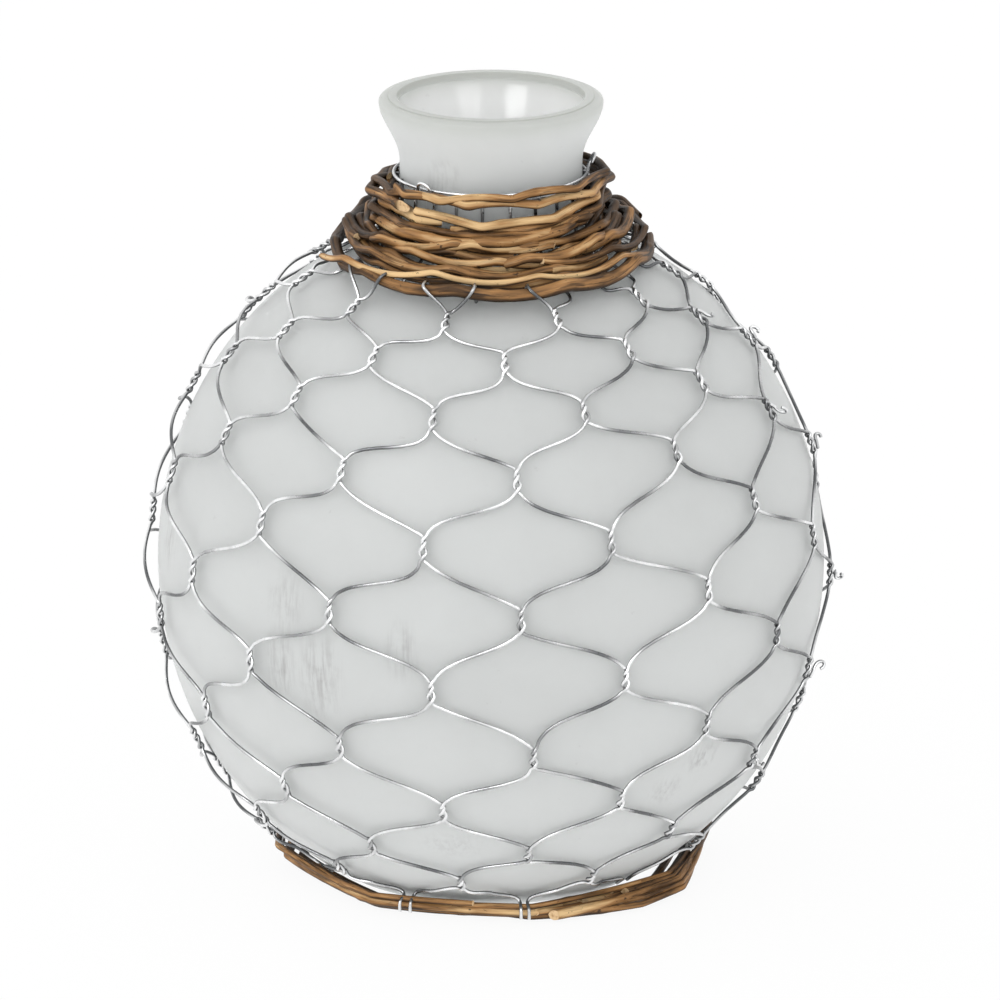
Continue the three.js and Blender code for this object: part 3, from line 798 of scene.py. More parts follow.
def attribute(tree, name, output="Fac"):
    """A value that the mesh keeps at its vertices."""
    return add_node(tree, "ShaderNodeAttribute", attribute_name=name).outputs[output]


def mix_colour(tree, share, first, second):
    """Colour between two colours by a mask."""
    return add_node(tree, "ShaderNodeMix", {0: share, 6: first, 7: second}, data_type="RGBA").outputs[2]


def add_group(tree, group, inputs):
    """A shader node group placed in a tree; returns its output socket."""
    return add_node(tree, "ShaderNodeGroup", node_tree=group, inputs=inputs).outputs[0]


def new_group(name, inputs, output):
    """Shader node group with float or vector inputs and one float output."""
    tree = bpy.data.node_groups.new(name, "ShaderNodeTree")
    for label, default in inputs.items():
        kind = "NodeSocketVector" if isinstance(default, tuple) else "NodeSocketFloat"
        tree.interface.new_socket(label, in_out="INPUT", socket_type=kind).default_value = default
    tree.interface.new_socket(output, in_out="OUTPUT", socket_type="NodeSocketFloat")
    return tree, tree.nodes.new("NodeGroupInput").outputs, tree.nodes.new("NodeGroupOutput").inputs


def mottle_group():
    """Patches: 0 to 1 as cloudy noise passes between two levels."""
    tree, given, result = new_group(
        "Mottle", {"Vector": (0.0, 0.0, 0.0), "Scale": 50.0, "Low": 0.4, "High": 0.6}, "Mask")
    clouds = noise(tree, given["Vector"], given["Scale"], detail=4.0, roughness=0.6)
    level = map_range(tree, clouds, (given["Low"], given["High"]), kind="SMOOTHSTEP")
    tree.links.new(level, result["Mask"])
    return tree


def rub_group(mottle):
    """A rubbed mark: streaks and blotches that fade out from a centre."""
    tree, given, result = new_group(
        "Rub mark", {"Vector": (0.0, 0.0, 0.0), "Centre": (0.0, 0.0, 0.0), "Reach": (0.01, 0.01, 0.01),
                     "Grain": 200.0, "Blotch": 80.0}, "Mask")
    place = given["Vector"]
    kind = "ShaderNodeVectorMath"
    away = add_node(tree, kind, {0: place, 1: given["Centre"]}, operation="SUBTRACT")
    share = add_node(tree, kind, {0: away.outputs[0], 1: given["Reach"]}, operation="DIVIDE")
    length = add_node(tree, kind, {0: share.outputs[0]}, operation="LENGTH")
    fade = map_range(tree, length.outputs["Value"], (1.0, 0.0), kind="SMOOTHSTEP")
    streaks = add_group(tree, mottle, {"Vector": stretched(tree, place, 0.09), "Scale": given["Grain"],
                                       "Low": 0.40, "High": 0.70})
    blotches = add_group(tree, mottle, {"Vector": place, "Scale": given["Blotch"],
                                        "Low": 0.42, "High": 0.72})
    patches = maths(tree, "MULTIPLY_ADD", blotches, BLOTCH_SHARE, streaks)
    tree.links.new(maths(tree, "MULTIPLY", fade, patches), result["Mask"])
    return tree


def shared_groups():
    """The node groups, made once."""
    if "Mottle" not in bpy.data.node_groups:
        rub_group(mottle_group())
    return bpy.data.node_groups["Mottle"], bpy.data.node_groups["Rub mark"]


def new_material(name):
    """Material with its Principled shader, and the place on the piece."""
    material = bpy.data.materials.new(name)
    material.use_nodes = True
    tree = material.node_tree
    place = add_node(tree, "ShaderNodeTexCoord").outputs["Object"]
    return material, tree, tree.nodes["Principled BSDF"], place


# Rubbed marks on the glass: azimuth, height, reach sideways and up, strength
RUB_MARKS = (
    (-38.0, 78.0, 7.0, 13.0, 0.55),
    (-30.0, 77.0, 9.0, 17.0, 0.55),
    (-37.0, 95.0, 8.0, 12.0, 0.40),
    (-15.0, 87.0, 6.0, 11.0, 0.40),
    (42.0, 49.0, 8.0, 6.0, 0.55),
    (35.0, 41.0, 7.0, 7.0, 0.40),
    (-74.0, 97.0, 10.0, 12.0, 0.35),
    (-38.0, 190.0, 6.0, 8.0, 0.50),
    (-8.0, 28.0, 12.0, 7.0, 0.22),
    (-30.0, 197.0, 7.0, 7.0, 0.28),
    (30.0, 189.0, 6.0, 4.0, 0.40),
)
BLOTCH_SHARE = 0.55
CLOUD_SHARE = 0.10
FLECK_SHARE = 0.12
GLASS_IOR = 1.5


def glass_material(settings, name, tint, roughness):
    """Frosted glass: pale, with soft clouding and grey rubbed marks, and painted shade at the lip and along
    the bead, kept in the attribute thick.
    """
    mottle, rub = shared_groups()
    material, tree, shader, place = new_material(name)
    clouds = add_group(tree, mottle, {"Vector": place, "Scale": 22.0, "Low": 0.3, "High": 0.75})
    colour = mix_colour(tree, maths(tree, "MULTIPLY", clouds, CLOUD_SHARE), tint, settings.scuff)
    # Painted shade at the lip and along the bead
    colour = mix_colour(tree, attribute(tree, "thick"), colour, settings.lip)
    for azimuth, height, across, up, strength in RUB_MARKS:
        centre = around(on_glass(along_at_height(height)), azimuth) * MM
        mark = add_group(tree, rub, {"Vector": place, "Centre": tuple(centre), "Grain": 800.0,
                                     "Blotch": 260.0, "Reach": (across * MM, across * MM, up * MM)})
        colour = mix_colour(tree, maths(tree, "MULTIPLY", mark, strength), colour, settings.scuff)
    flecks = add_group(tree, mottle, {"Vector": place, "Scale": 320.0, "Low": 0.68, "High": 0.76})
    colour = mix_colour(tree, maths(tree, "MULTIPLY", flecks, FLECK_SHARE), colour, settings.scuff)
    feed(tree, shader, {
        "Base Color": colour,
        "Roughness": roughness,
        "Normal": bump(tree, noise(tree, place, scale=30.0), strength=0.12, distance=0.002),
        "Transmission Weight": settings.clearness,
        "IOR": GLASS_IOR,
        "Subsurface Weight": settings.milk,
        "Subsurface Radius": (1.0, 1.0, 1.0),
        "Subsurface Scale": settings.scatter,
    })
    return material


# Span of the crown over which the painted highlight rises, how much the zinc's patches dim it, and
# roughness
CROWN_SPAN = (-0.5, 0.6)
PATCH_DIM = -0.25
ZINC_ROUGHNESS = (0.22, 0.42)


def wire_material(settings):
    """Galvanised wire: zinc with painted shade at the sides and a painted highlight along its crown, in
    stretches.

    The attribute crown is 1 where the wire faces away from the glass; another holds each stretch's painted
    highlight.
    """
    mottle, _ = shared_groups()
    material, tree, shader, place = new_material("galvanised_wire")
    patches = add_group(tree, mottle, {"Vector": place, "Scale": 260.0, "Low": 0.35, "High": 0.75})
    # Painted highlight along the crown, painted shade at the sides
    rubbed = map_range(tree, attribute(tree, "crown"), CROWN_SPAN, kind="SMOOTHSTEP")
    bright = maths(tree, "MULTIPLY", rubbed, attribute(tree, "highlight_share"))
    bright = maths(tree, "MULTIPLY", bright, maths(tree, "MULTIPLY_ADD", patches, PATCH_DIM, 1.0))
    feed(tree, shader, {
        "Base Color": mix_colour(tree, bright, settings.painted_shade_zinc, settings.bright),
        "Roughness": map_range(tree, patches, result=ZINC_ROUGHNESS),
        "Normal": bump(tree, noise(tree, place, scale=900.0), strength=0.15, distance=0.0004),
        "Metallic": 1.0,
    })
    return material


# Bark: how far streaks, specks and cracks are drawn out, what shifts its tone, and its painted shade
STREAK_DRAWN = 0.10
SPECK_DRAWN = 0.5
CRACK_DRAWN = 0.06
CLOUD_SHIFT = (0.9, -0.45)
STREAK_SHIFT = (1.6, -0.9)
UNDERSIDE_SHADE_SHIFT = 0.9
UNDERSIDE_SHADE_SPAN = (0.10, 0.54)
UNDERSIDE_SHADE_MOST = 0.92
SPECK_LEVEL = 0.635
SPECK_SPAN = 0.07
BUD_SPECKS = -0.08
SPECK_SHARE = 0.85
BARK_ROUGHNESS = (0.34, 0.62)
BARK_SHINE = 0.2
# Colour of the painted shade on the rod's underside and the side towards the glass
UNDERSIDE_SHADE_COLOUR = (0.018, 0.009, 0.003, 1)
SPECK_COLOUR = (0.016, 0.010, 0.007, 1)
CUT_ROUGHNESS = 0.7


def bark_material(settings):
    """Willow bark: streaks along the rod, dark specks and cracks, over the rod's own tone.

    The attribute rod holds the rod straightened out, along its third axis, and tone its darkness and
    painted shade.
    Painted shade darkens the side towards the glass and the floor, and bud the knots.
    """
    mottle, _ = shared_groups()
    material, tree, shader, _ = new_material("willow_bark")
    rod = attribute(tree, "rod", "Vector")
    tone = attribute(tree, "tone")
    underside_shade = attribute(tree, "underside_shade")
    streaks = noise(tree, stretched(tree, rod, STREAK_DRAWN), scale=900.0, detail=3.0)
    clouds = noise(tree, rod, scale=60.0, detail=3.0)
    level = maths(tree, "ADD", tone, maths(tree, "MULTIPLY_ADD", clouds, *CLOUD_SHIFT))
    # Painted shade: the side towards the glass and the floor shifts the tone darker
    level = maths(tree, "MULTIPLY_ADD", underside_shade, UNDERSIDE_SHADE_SHIFT, level)
    level = maths(tree, "ADD", level, maths(tree, "MULTIPLY_ADD", streaks, *STREAK_SHIFT))
    ramp = add_node(tree, "ShaderNodeValToRGB", {"Fac": level})
    ramp.color_ramp.elements[0].color = settings.pale
    ramp.color_ramp.elements[1].color = settings.dark
    ramp.color_ramp.elements.new(0.5).color = settings.warm
    # Painted shade mixed to a dark colour
    shade = map_range(tree, underside_shade, UNDERSIDE_SHADE_SPAN, (0.0, UNDERSIDE_SHADE_MOST), "SMOOTHSTEP")
    colour = mix_colour(tree, shade, ramp.outputs[0], UNDERSIDE_SHADE_COLOUR)
    low = maths(tree, "MULTIPLY_ADD", attribute(tree, "bud"), BUD_SPECKS, SPECK_LEVEL)
    specks = add_group(tree, mottle, {"Vector": stretched(tree, rod, SPECK_DRAWN), "Scale": 1050.0,
                                      "Low": low, "High": maths(tree, "ADD", low, SPECK_SPAN)})
    cracks = add_group(tree, mottle, {"Vector": stretched(tree, rod, CRACK_DRAWN), "Scale": 1300.0,
                                      "Low": 0.54, "High": 0.62})
    specks = maths(tree, "MAXIMUM", specks, maths(tree, "MULTIPLY", cracks, tone, use_clamp=True))
    feed(tree, shader, {
        "Base Color": mix_colour(tree, maths(tree, "MULTIPLY", specks, SPECK_SHARE), colour, SPECK_COLOUR),
        "Roughness": map_range(tree, clouds, result=BARK_ROUGHNESS),
        "Normal": bump(tree, streaks, strength=0.8, distance=0.0008),
        "Specular IOR Level": BARK_SHINE,
    })
    return material


def cut_material(settings):
    """Cut willow: pale wood with darker flecks."""
    mottle, _ = shared_groups()
    material, tree, shader, place = new_material("willow_cut")
    flecks = add_group(tree, mottle, {"Vector": place, "Scale": 900.0, "Low": 0.45, "High": 0.75})
    feed(tree, shader, {"Base Color": mix_colour(tree, flecks, settings.cut, settings.warm),
                        "Roughness": CUT_ROUGHNESS})
    return material


# Glass and wire


class BOTTLE_OT_glass(Operator):
    """Bottle turned from its outline, etched outside and plain inside"""

    bl_idname = "bottle.add_glass"
    bl_label = "Glass"

    def execute(self, context):
        settings = context.scene.bottle_glass
        outline, shown, thick = glass_outline()
        surface = revolve(outline, GLASS_SEGMENTS)
        quads = len(surface[1])
        inside = np.zeros(quads + len(surface[2]), np.int32)
        inside[(shown - 1) * GLASS_SEGMENTS:quads] = 1
        inside[quads + GLASS_SEGMENTS:] = 1
        # The plain inside takes a lighter colour than the etched outside: painted light on the inner neck
        materials = [glass_material(settings, "frosted_glass", settings.tint, settings.frost),
                     glass_material(settings, "plain_glass", settings.inside, settings.polish)]
        # Painted shade of the lip and bead at each vertex
        thick = np.concatenate([np.repeat(thick[1:-1], GLASS_SEGMENTS), thick[[0, -1]]])
        new_piece("bottle", surface, materials, "glass_bottle", inside, {"thick": thick})
        return {"FINISHED"}


def slack(azimuth):
    """1 at the left, where the jacket is slack, and 0 far from it."""
    return bell(wrapped(azimuth - SLACK_AT), SLACK_WIDTH)


def near_seam(azimuth):
    """1 at the middle of the right side, where the netting is closed, and 0 far from it."""
    return bell(wrapped(azimuth) - SEAM_SIDE_AT, SEAM_SIDE_WIDTH)


def twist_columns(column, drift):
    """Column of the twist that a wire passes in each row."""
    return column + np.floor(drift * np.arange(NET_ROWS) / 2).astype(int)


def netting_path(column, drift, wire, twist, hang, lowest):
    """Centre line of one netting wire: up under the collar, through its twists, down to the hoop. Also
    returns how near each of its points is to a twist.

    In a twist it is a helix of half turns about a line down the glass, drawn tight above and open in
    an eye below. Between twists it is a cubic that leaves and enters steeply and runs flatter half way.
    Where the jacket is slack the wires stand off; elsewhere they lie closer half way between twists.
    """
    rows = np.arange(NET_ROWS)
    columns = twist_columns(column, drift)
    azimuth = row_turn(rows) + CELL * columns + hang.turn[rows, columns % NET_CELLS]
    middle = row_along(rows, azimuth) + hang.slip[rows, columns % NET_CELLS]
    quarter = np.arange(2 * HALF_TURNS + 1)
    turn = np.radians((180 if drift > 0 else 0) + 90 * quarter)
    distance = middle[:, None] + TWIST_LENGTH * (0.5 - TWIST_SHARE)
    lift = NET_LIFT + (SLACK_LIFT * slack(azimuth))[:, None] + twist * np.sin(turn)
    sideways = np.degrees(twist * TWIST_WIDTH * np.cos(turn) / on_glass(distance)[..., 0])
    helix = np.stack([azimuth[:, None] + sideways, distance, lift], axis=-1)

    t = MESH_STATIONS[None, :, None]
    start = helix[:-1, -1:]
    way = helix[1:, :1] - start
    ogee = hang.ogee[rows[:-1], columns[:-1] % NET_CELLS, 0 if drift > 0 else 1]
    ogee = ogee * (1 - STRAIGHT_SHARE * near_seam(azimuth[:-1]))[:, None]
    slopes = np.stack([1 - MESH_TURN * ogee, 1 + MESH_DROP * ogee, 0 * ogee], axis=-1)
    leave = slopes[:, 0:1]
    enter = slopes[:, 1:2]
    share = t**2 * (3 - 2 * t)
    between = start + way * (share + (t**3 - 2 * t**2 + t) * leave + (t**3 - t**2) * enter)
    bow = SLACK_BOW * slack(azimuth[:-1]) - TIGHT_BOW
    between[..., 2] += bow[:, None] * np.sin(np.pi * t[..., 0])
    meshes = np.concatenate([helix[:-1], between], axis=1).reshape(-1, 3)
    body = np.concatenate([meshes, helix[-1]])
    body = around(on_glass(body[:, 1], body[:, 2]), body[:, 0])
    neck = neck_run(azimuth[0], drift, wire, lowest)
    foot = foot_run(azimuth[-1], middle[-1], column + (NET_ROWS * (drift - 1)) // 2, drift, wire)
    path = smooth_path(np.concatenate([neck, body, foot]), WIRE_SPACING)
    centres = around(on_glass(middle, NET_LIFT), azimuth)
    away = np.min(np.linalg.norm(path[:, None, :] - centres, axis=-1), axis=1)
    return path, np.clip(TWIST_REACH - TWIST_FADE * away / TWIST_LENGTH, 0, 1)


def hook_point(point, climb, out, reach, turn):
    """Point of a wire bent round a rod: 0 is straight up the rod's line, 90 straight out."""
    angle = np.radians(turn)[:, None]
    return point + reach * (np.cos(angle) * climb + np.sin(angle) * out)


def neck_run(azimuth, drift, wire, lowest):
    """From the tie down under the collar to the top twist. A hooked wire comes out above the lowest
    rod and bends over it."""
    top = row_along(0, azimuth) + TWIST_LENGTH / 2
    run = azimuth - drift * CELL * NECK_RUN
    turned = wrapped(run)
    start = top + TWIST_LENGTH / 2
    bend = np.zeros((0, 2))
    if HOOK_FROM < turned < HOOK_TO:
        _, climb, out = on_collar(np.interp(turned, lowest.azimuth, lowest.at))
        rod = columns_at(turned, lowest.azimuth, lowest.place)
        reach = np.interp(turned, lowest.azimuth, lowest.radius) + wire
        reach = reach / np.cos(np.radians(HOOK_STEP / 2))
        bend = hook_point(rod, climb, out, reach, np.array(NECK_HOOK))
        above = rod + climb * HOOK
        start = ALONG[np.argmin(np.linalg.norm(OUTLINE - above, axis=1))]
        bend = np.concatenate([bend, above[None]])
    rise = np.linspace(start, TIE_ALONG + WIRE_END_ABOVE_TIE, NECK_STEPS + 1)
    line = np.concatenate([bend, on_glass(rise, wire + NECK_GAP)])
    return around(line, np.full(len(line), run))[::-1]


def foot_run(azimuth, middle, pair, drift, wire):
    """From the last twist to the hoop: some pairs hook round the upper rod, the others tuck behind."""
    spread = np.degrees((wire + PAIR_GAP / 2) / UPPER_ROD[0])
    end = azimuth + drift * (CELL / 2 - spread)
    half_way = (azimuth + end) / 2
    bottom = middle - TWIST_LENGTH / 2
    if pair % NET_CELLS in HOOKED_PAIRS:
        rod = UPPER_ROD + np.array([hoop_kink(end), 0])
        reach = HOOK / np.cos(np.radians(HOOK_STEP / 2))
        bend = hook_point(rod, np.array([0.0, 1.0]), np.array([1.0, 0.0]), reach, np.array(FOOT_HOOK))
        line = np.concatenate([on_glass(bottom * HOOK_REACH, NET_LIFT)[None], bend])
        return around(line, np.array([half_way] + [end] * len(bend)))
    line = on_glass(bottom * np.array(TUCK_REACH), wire + GAP)
    return around(line, np.array([half_way, end, end]))


def net_hang(seed=11):
    """How unevenly the stretched netting hangs: small shifts of each twist round and along the glass,
    and how curved each mesh side is at both ends."""
    draw = np.random.default_rng(seed)
    return SimpleNamespace(
        turn=draw.normal(0, TWIST_SHIFT, (NET_ROWS, NET_CELLS)),
        slip=draw.normal(0, TWIST_SHIFT, (NET_ROWS, NET_CELLS)),
        ogee=draw.uniform(OGEE_LEAST, OGEE_MOST, (NET_ROWS, NET_CELLS, 2, 2)).swapaxes(2, 3),
    )


def new_wire(name, path, radius, material, node, highlight_level, sides=WIRE_SIDES):
    """Round wire along a path, with its crown and the painted highlight of its stretches kept for the zinc.

    To the painted highlight is added a product of two waves along the wire, as painted reflections that
    come and go, and less is left of it at the seam, as painted shade.
    """
    surface = sweep(path, np.full((len(path), sides), radius), path * LEVEL + SIDE_RISE * UP)
    # The crown faces off the globe's middle; there the zinc gets its painted highlight
    rise = np.clip((path[:, 2:] - CROWN_FROM) / (WAIST_FOOT - CROWN_FROM), 0, 1)
    level = BODY_MIDDLE + rise * (path[:, 2:] - BODY_MIDDLE)
    crown = facing(surface[0], path, unit(path - level * UP))
    s = path_length(path) + HIGHLIGHT_START * np.sum(path[0])
    # Waves of painted highlight along the wire, standing in for reflections that come and go
    wave = HIGHLIGHT_WAVE * np.sin(s / HIGHLIGHT_LENGTHS[0]) * np.cos(s / HIGHLIGHT_LENGTHS[1])
    # Painted shade near the seam, on the right side
    dim = SEAM_SHADE_SHARE * near_seam(np.degrees(np.arctan2(path[:, 0], -path[:, 1])))
    highlight_share = np.repeat(np.clip(highlight_level - dim + wave, LEAST_HIGHLIGHT, 1), sides)
    return new_piece(name, surface, [material], node,
                     attributes={"crown": crown, "highlight_share": with_poles(highlight_share)})


class BOTTLE_OT_netting(Operator):
    """Jacket of hexagonal netting: every wire runs from the neck to the hoop through eleven twists"""

    bl_idname = "bottle.add_netting"
    bl_label = "Wire netting"

    def execute(self, context):
        settings = context.scene.bottle_wire
        wire = settings.radius / MM
        hang = net_hang()
        material = wire_material(settings)
        lowest = laid_collar(context.scene.bottle_willow)[0]
        for number in range(2 * NET_CELLS):
            drift = -1 if number % 2 else 1
            path, twist = netting_path(number // 2, drift, wire, settings.twist / MM, hang, lowest)
            new_wire(f"net_wire_{number + 1:02d}", path, wire, material, f"netting_wire_{number + 1:02d}",
                     MESH_HIGHLIGHT + TWIST_HIGHLIGHT * twist)
        return {"FINISHED"}


class BOTTLE_OT_seam_ends(Operator):
    """Cut wire ends laid on the twists of the seam, each bent into a small hook that stands out"""

    bl_idname = "bottle.add_seam_ends"
    bl_label = "Seam ends"

    def execute(self, context):
        settings = context.scene.bottle_wire
        wire = settings.radius / MM
        material = bpy.data.materials["galvanised_wire"]
        hang = net_hang()
        for number, (row, near) in enumerate(SEAM_TWISTS):
            column = int(np.round((near - row_turn(row)) / CELL))
            azimuth = row_turn(row) + CELL * column + hang.turn[row, column % NET_CELLS]
            middle = row_along(row, azimuth) + hang.slip[row, column % NET_CELLS]
            hand = 1 if number % 2 else -1
            stand = NET_LIFT + settings.twist / MM + 2 * wire
            shank = around(on_glass(middle - hand * SHANK_ALONG, stand), azimuth + SHANK_ACROSS)
            ahead = unit(shank[-1] - shank[-2])
            curl = np.radians(np.arange(END_BEND, END_SWEEP[number % 3], END_BEND))[:, None]
            radius = END_RADIUS + END_GROWTH * (number % 3)
            off = outward(azimuth + END_LEAN)
            hook = shank[-1] + radius * (np.sin(curl) * ahead + (1 - np.cos(curl)) * off)
            path = smooth_path(np.concatenate([shank, hook]), END_SPACING)
            new_wire(f"seam_end_{number + 1:02d}", path, wire, material, f"seam_tie_{number + 1:02d}",
                     END_HIGHLIGHT)
        return {"FINISHED"}


def tie_eye(azimuth, distance, hand):
    """Three quarters of a small loop that stands off the neck and leaves it along the winding."""
    start = around(on_glass(distance, TIE_SEAT), azimuth)
    forward = np.array([np.cos(np.radians(azimuth)), np.sin(np.radians(azimuth)), 0])
    lean = unit(TIE_LEAN * outward(azimuth) + UP)
    turn = np.radians(np.array(TIE_BEND))[:, None]
    return start + TIE_LOOP * (hand * np.sin(turn) * forward + (1 - np.cos(turn)) * lean)


class BOTTLE_OT_tie(Operator):
    """One wire wound round the netting's ends above the collar, an eye bent at each end"""

    bl_idname = "bottle.add_tie"
    bl_label = "Neck tie"

    def execute(self, context):
        wire = context.scene.bottle_wire.radius / MM
        pitch = 2 * NET_WIRE + TIE_GAP
        turns = np.linspace(0, TIE_TURNS, TIE_STATIONS + 1)
        winding = around(on_glass(TIE_ALONG + pitch * turns, TIE_SEAT), TIE_FROM + 360 * turns)
        first = tie_eye(TIE_FROM, TIE_ALONG, -1)[::-1]
        last = tie_eye(TIE_FROM + 360 * TIE_TURNS, TIE_ALONG + pitch * TIE_TURNS, 1)
        path = smooth_path(np.concatenate([first, winding, last]), WIRE_SPACING)
        new_wire("tie_wire", path, wire, bpy.data.materials["galvanised_wire"], "neck_tie_wire", TIE_HIGHLIGHT,
                 TIE_SIDES)
        return {"FINISHED"}


# Willow


def loose_rod(azimuth, at, radius, tip, shift, seed):
    """A rod before it is laid: its corners, thickness and place along the collar's line.

    It runs straight from corner to corner, and is shifted by a chance amount at every second one.
    Azimuths rise along its arrays, from its butt or from its tip.
    """
    draw = np.random.default_rng(seed)
    pitch = 360 / COLLAR_CORNERS
    turn = COLLAR_TURN + draw.normal(0, CORNER_SPREAD)
    side = np.floor((azimuth - turn) / pitch).astype(int)
    corners = turn + pitch * np.arange(side[0], side[-1] + 2)
    share = (azimuth - azimuth[0]) / (azimuth[-1] - azimuth[0])
    slant = draw.normal(0, shift, len(corners) // 2 + 2)
    slant = np.interp(np.arange(len(corners)), 2 * np.arange(len(slant)), slant)
    return SimpleNamespace(
        azimuth=azimuth,
        side=side - side[0],
        corners=corners,
        hollow=1 - corner_share(azimuth, COLLAR_CORNERS, turn),
        at=np.interp(azimuth, corners, np.interp(corners, azimuth, at) + slant),
        radius=radius * draw.uniform(*ROD_SIZES) * (tip[0] + (tip[1] - tip[0]) * share),
        tone=draw.uniform(*ROD_TONES),
        seed=seed,
    )


def lift_over(rod, point, out, laid):
    """Least lift of a rod off the collar's line that is clear of the rods already laid.

    Where two rods come closer than the sum of their radii, the lift rises to the larger root of the
    square of their distance set equal to the square of that sum.
    """
    spans = []
    for under in laid:
        for turn in (-720, -360, 0, 360, 720):
            seen = rod.azimuth + turn
            there = (seen >= under.azimuth[0]) & (seen <= under.azimuth[-1])
            if there.any():
                other = columns_at(seen, under.azimuth, under.place)
                reach = rod.radius + np.interp(seen, under.azimuth, under.radius)
                middle = np.sum((other - point) * out, axis=-1)
                inside = middle**2 - np.sum((other - point) ** 2, axis=-1) + reach**2
                half = np.where(there & (inside > 0), np.sqrt(np.clip(inside, 0, None)), -1)
                spans.append((middle - half, middle + half))
    need = np.zeros(len(rod.azimuth))
    for _ in range(LIFT_PASSES):
        for low, high in spans:
            need = np.where((need > low) & (need < high), high, need)
    return need


def lay(rods, kink):
    """Lays stiff rods in turn: each is lifted over those under it, and stays straight between corners.

    A straight side falls short of the round collar by its hollow, so a corner is lifted by what its
    two sides need in all. Low on the collar the rods are pressed closer to each other.
    """
    for count, rod in enumerate(rods):
        point, _, out = on_collar(rod.at)
        limber = LIMBER + (1 - LIMBER) * np.clip(rod.at / INNER_LAYER.reach[-1], 0, 1)
        hollow = kink * rod.hollow
        demand = np.minimum(lift_over(rod, point, out, rods[:count]), MOST_LIFT * limber) + hollow
        peak = np.zeros(rod.side[-1] + 1)
        np.maximum.at(peak, rod.side, demand)
        middling = np.bincount(rod.side, demand) / np.bincount(rod.side)
        stand = middling + LOOSENESS * (peak - middling)
        stand = np.maximum(np.append(stand[0], stand), np.append(stand, stand[-1]))
        lift = np.interp(rod.azimuth, rod.corners, stand) - hollow
        rod.place = point + lift[:, None] * out
    return rods


def rounded(path):
    """Path whose corners are rounded by a weighted mean of neighbouring points; its ends stay."""
    weights = np.hanning(2 * ROUNDING + 3)[1:-1]
    weights = weights / weights.sum()
    padded = np.pad(path, ((ROUNDING, ROUNDING), (0, 0)), mode="reflect", reflect_type="odd")
    return np.stack([np.convolve(padded[:, i], weights, mode="valid") for i in range(3)], axis=-1)


def laid_collar(settings):
    """All rods of the collar: the inner layer, the outer one wound against it, and thin weavers across."""
    radius = settings.radius / MM
    rods = []
    for layer in (INNER_LAYER, OUTER_LAYER):
        for number in range(layer.count):
            first = 360 * layer.turns * number + END_GAP / 2
            last = 360 * layer.turns * (number + 1) - END_GAP / 2 + layer.overlap
            wound = np.arange(first, last, ROD_STEP)[::layer.hand]
            still = number == 0 and not layer.outer
            rod = loose_rod(layer.start + layer.hand * wound, collar_at(layer, number, wound), radius,
                            ROD_TAPER[::layer.hand], 0.0 if still else layer.shift, layer.seed + number)
            rod.names = [f"{name}_{number + 1:02d}" for name in layer.names]
            rods.append(rod)
    for number, (start, run, low, high, hand) in enumerate(WEAVERS):
        azimuth = np.arange(start, start + run, ROD_STEP)
        share = np.linspace(low, high, len(azimuth))[::hand]
        rod = loose_rod(azimuth, share * INNER_LAYER.reach[-1], WEAVER_SIZE * radius, WEAVER_TAPER[::hand],
                        WEAVER_SHIFT, WEAVER_SEED + number)
        rod.names = (f"weaver_willow_{number + 1:02d}", None)
        rods.append(rod)
    return lay(rods, settings.kink / MM)


def rod_radius(length, radius, seed):
    """Radius of a rod along and round it: its taper, swellings at the buds, ridges and flats.

    A swelling is a bell curve at every bud; ridges are waves round the rod that drift along it. Also
    returns how near each point is to a bud.
    """
    draw = np.random.default_rng(seed)
    s = length[:, None]
    angle = np.arange(ROD_SIDES)[None, :] * (2 * np.pi / ROD_SIDES)
    buds = np.cumsum(draw.uniform(*BUD_STEPS, BUDS))
    side = draw.uniform(0, 2 * np.pi, BUDS)
    near = bell(s[..., None] - buds, BUD_WIDTH)
    knot = near * np.clip(np.cos(angle[..., None] - side), 0, 1)
    swell = np.sum(BUD_SWELL * near + BUD_KNOT * knot, axis=-1)
    phase = draw.uniform(0, 2 * np.pi, 4)
    ridges = sum(height * np.sin(count * angle + start + s / drift)
                 for (height, count, drift), start in zip(RIDGES, phase))
    flats = FLATS[0] * np.cos(2 * angle + phase[2] + s / FLATS[1])
    flats = flats + SWELLS[0] * np.sin(s / SWELLS[1] + phase[3])
    return radius[:, None] * (1 + swell + ridges + flats), np.sum(knot, axis=-1)


def new_rod(names, path, azimuth, radius, tone, seed, materials, cuts):
    """Willow rod along a path. Its straightened place, tone, painted shade and buds are kept for the bark.

    The painted shade is 0 on the lit side that faces up and out, and 1 on the side towards the glass and
    the floor.
    """
    length = path_length(path)
    radii, knot = rod_radius(length, radius, seed)
    surface = sweep(path, radii, outward(azimuth), cuts)
    angle = np.arange(ROD_SIDES) * (2 * np.pi / ROD_SIDES)
    size = np.mean(radius)
    straight = np.stack([np.tile(size * np.cos(angle), len(path)), np.tile(size * np.sin(angle), len(path)),
                         np.repeat(length, ROD_SIDES) + SEED_LENGTH * seed], axis=-1)
    wave = sum(height * np.sin(length / long + count * seed) for count, height, long in TONE_WAVES)
    # Painted shade: rods darker at the sides and back, where less light falls
    shaded = SIDE_SHADE * np.clip(1 - np.cos(np.radians(azimuth)), 0, 1)
    # The lit side, facing up and out, from which the painted shade of the underside is measured
    lit_side = unit(outward(azimuth) + LIT_SIDE_RISE * UP)
    attributes = {
        "rod": with_poles(straight) * MM,
        "tone": with_poles(np.repeat(tone + wave + shaded, ROD_SIDES)),
        "underside_shade": 0.5 - 0.5 * facing(surface[0], path, lit_side),
        "bud": with_poles(knot.ravel()),
    }
    ends = np.zeros(len(surface[1]) + len(surface[2]), np.int32)
    ends[len(surface[1]):] = 1
    return new_piece(names[0], surface, materials, names[1], ends, attributes, ROD_CREASE)


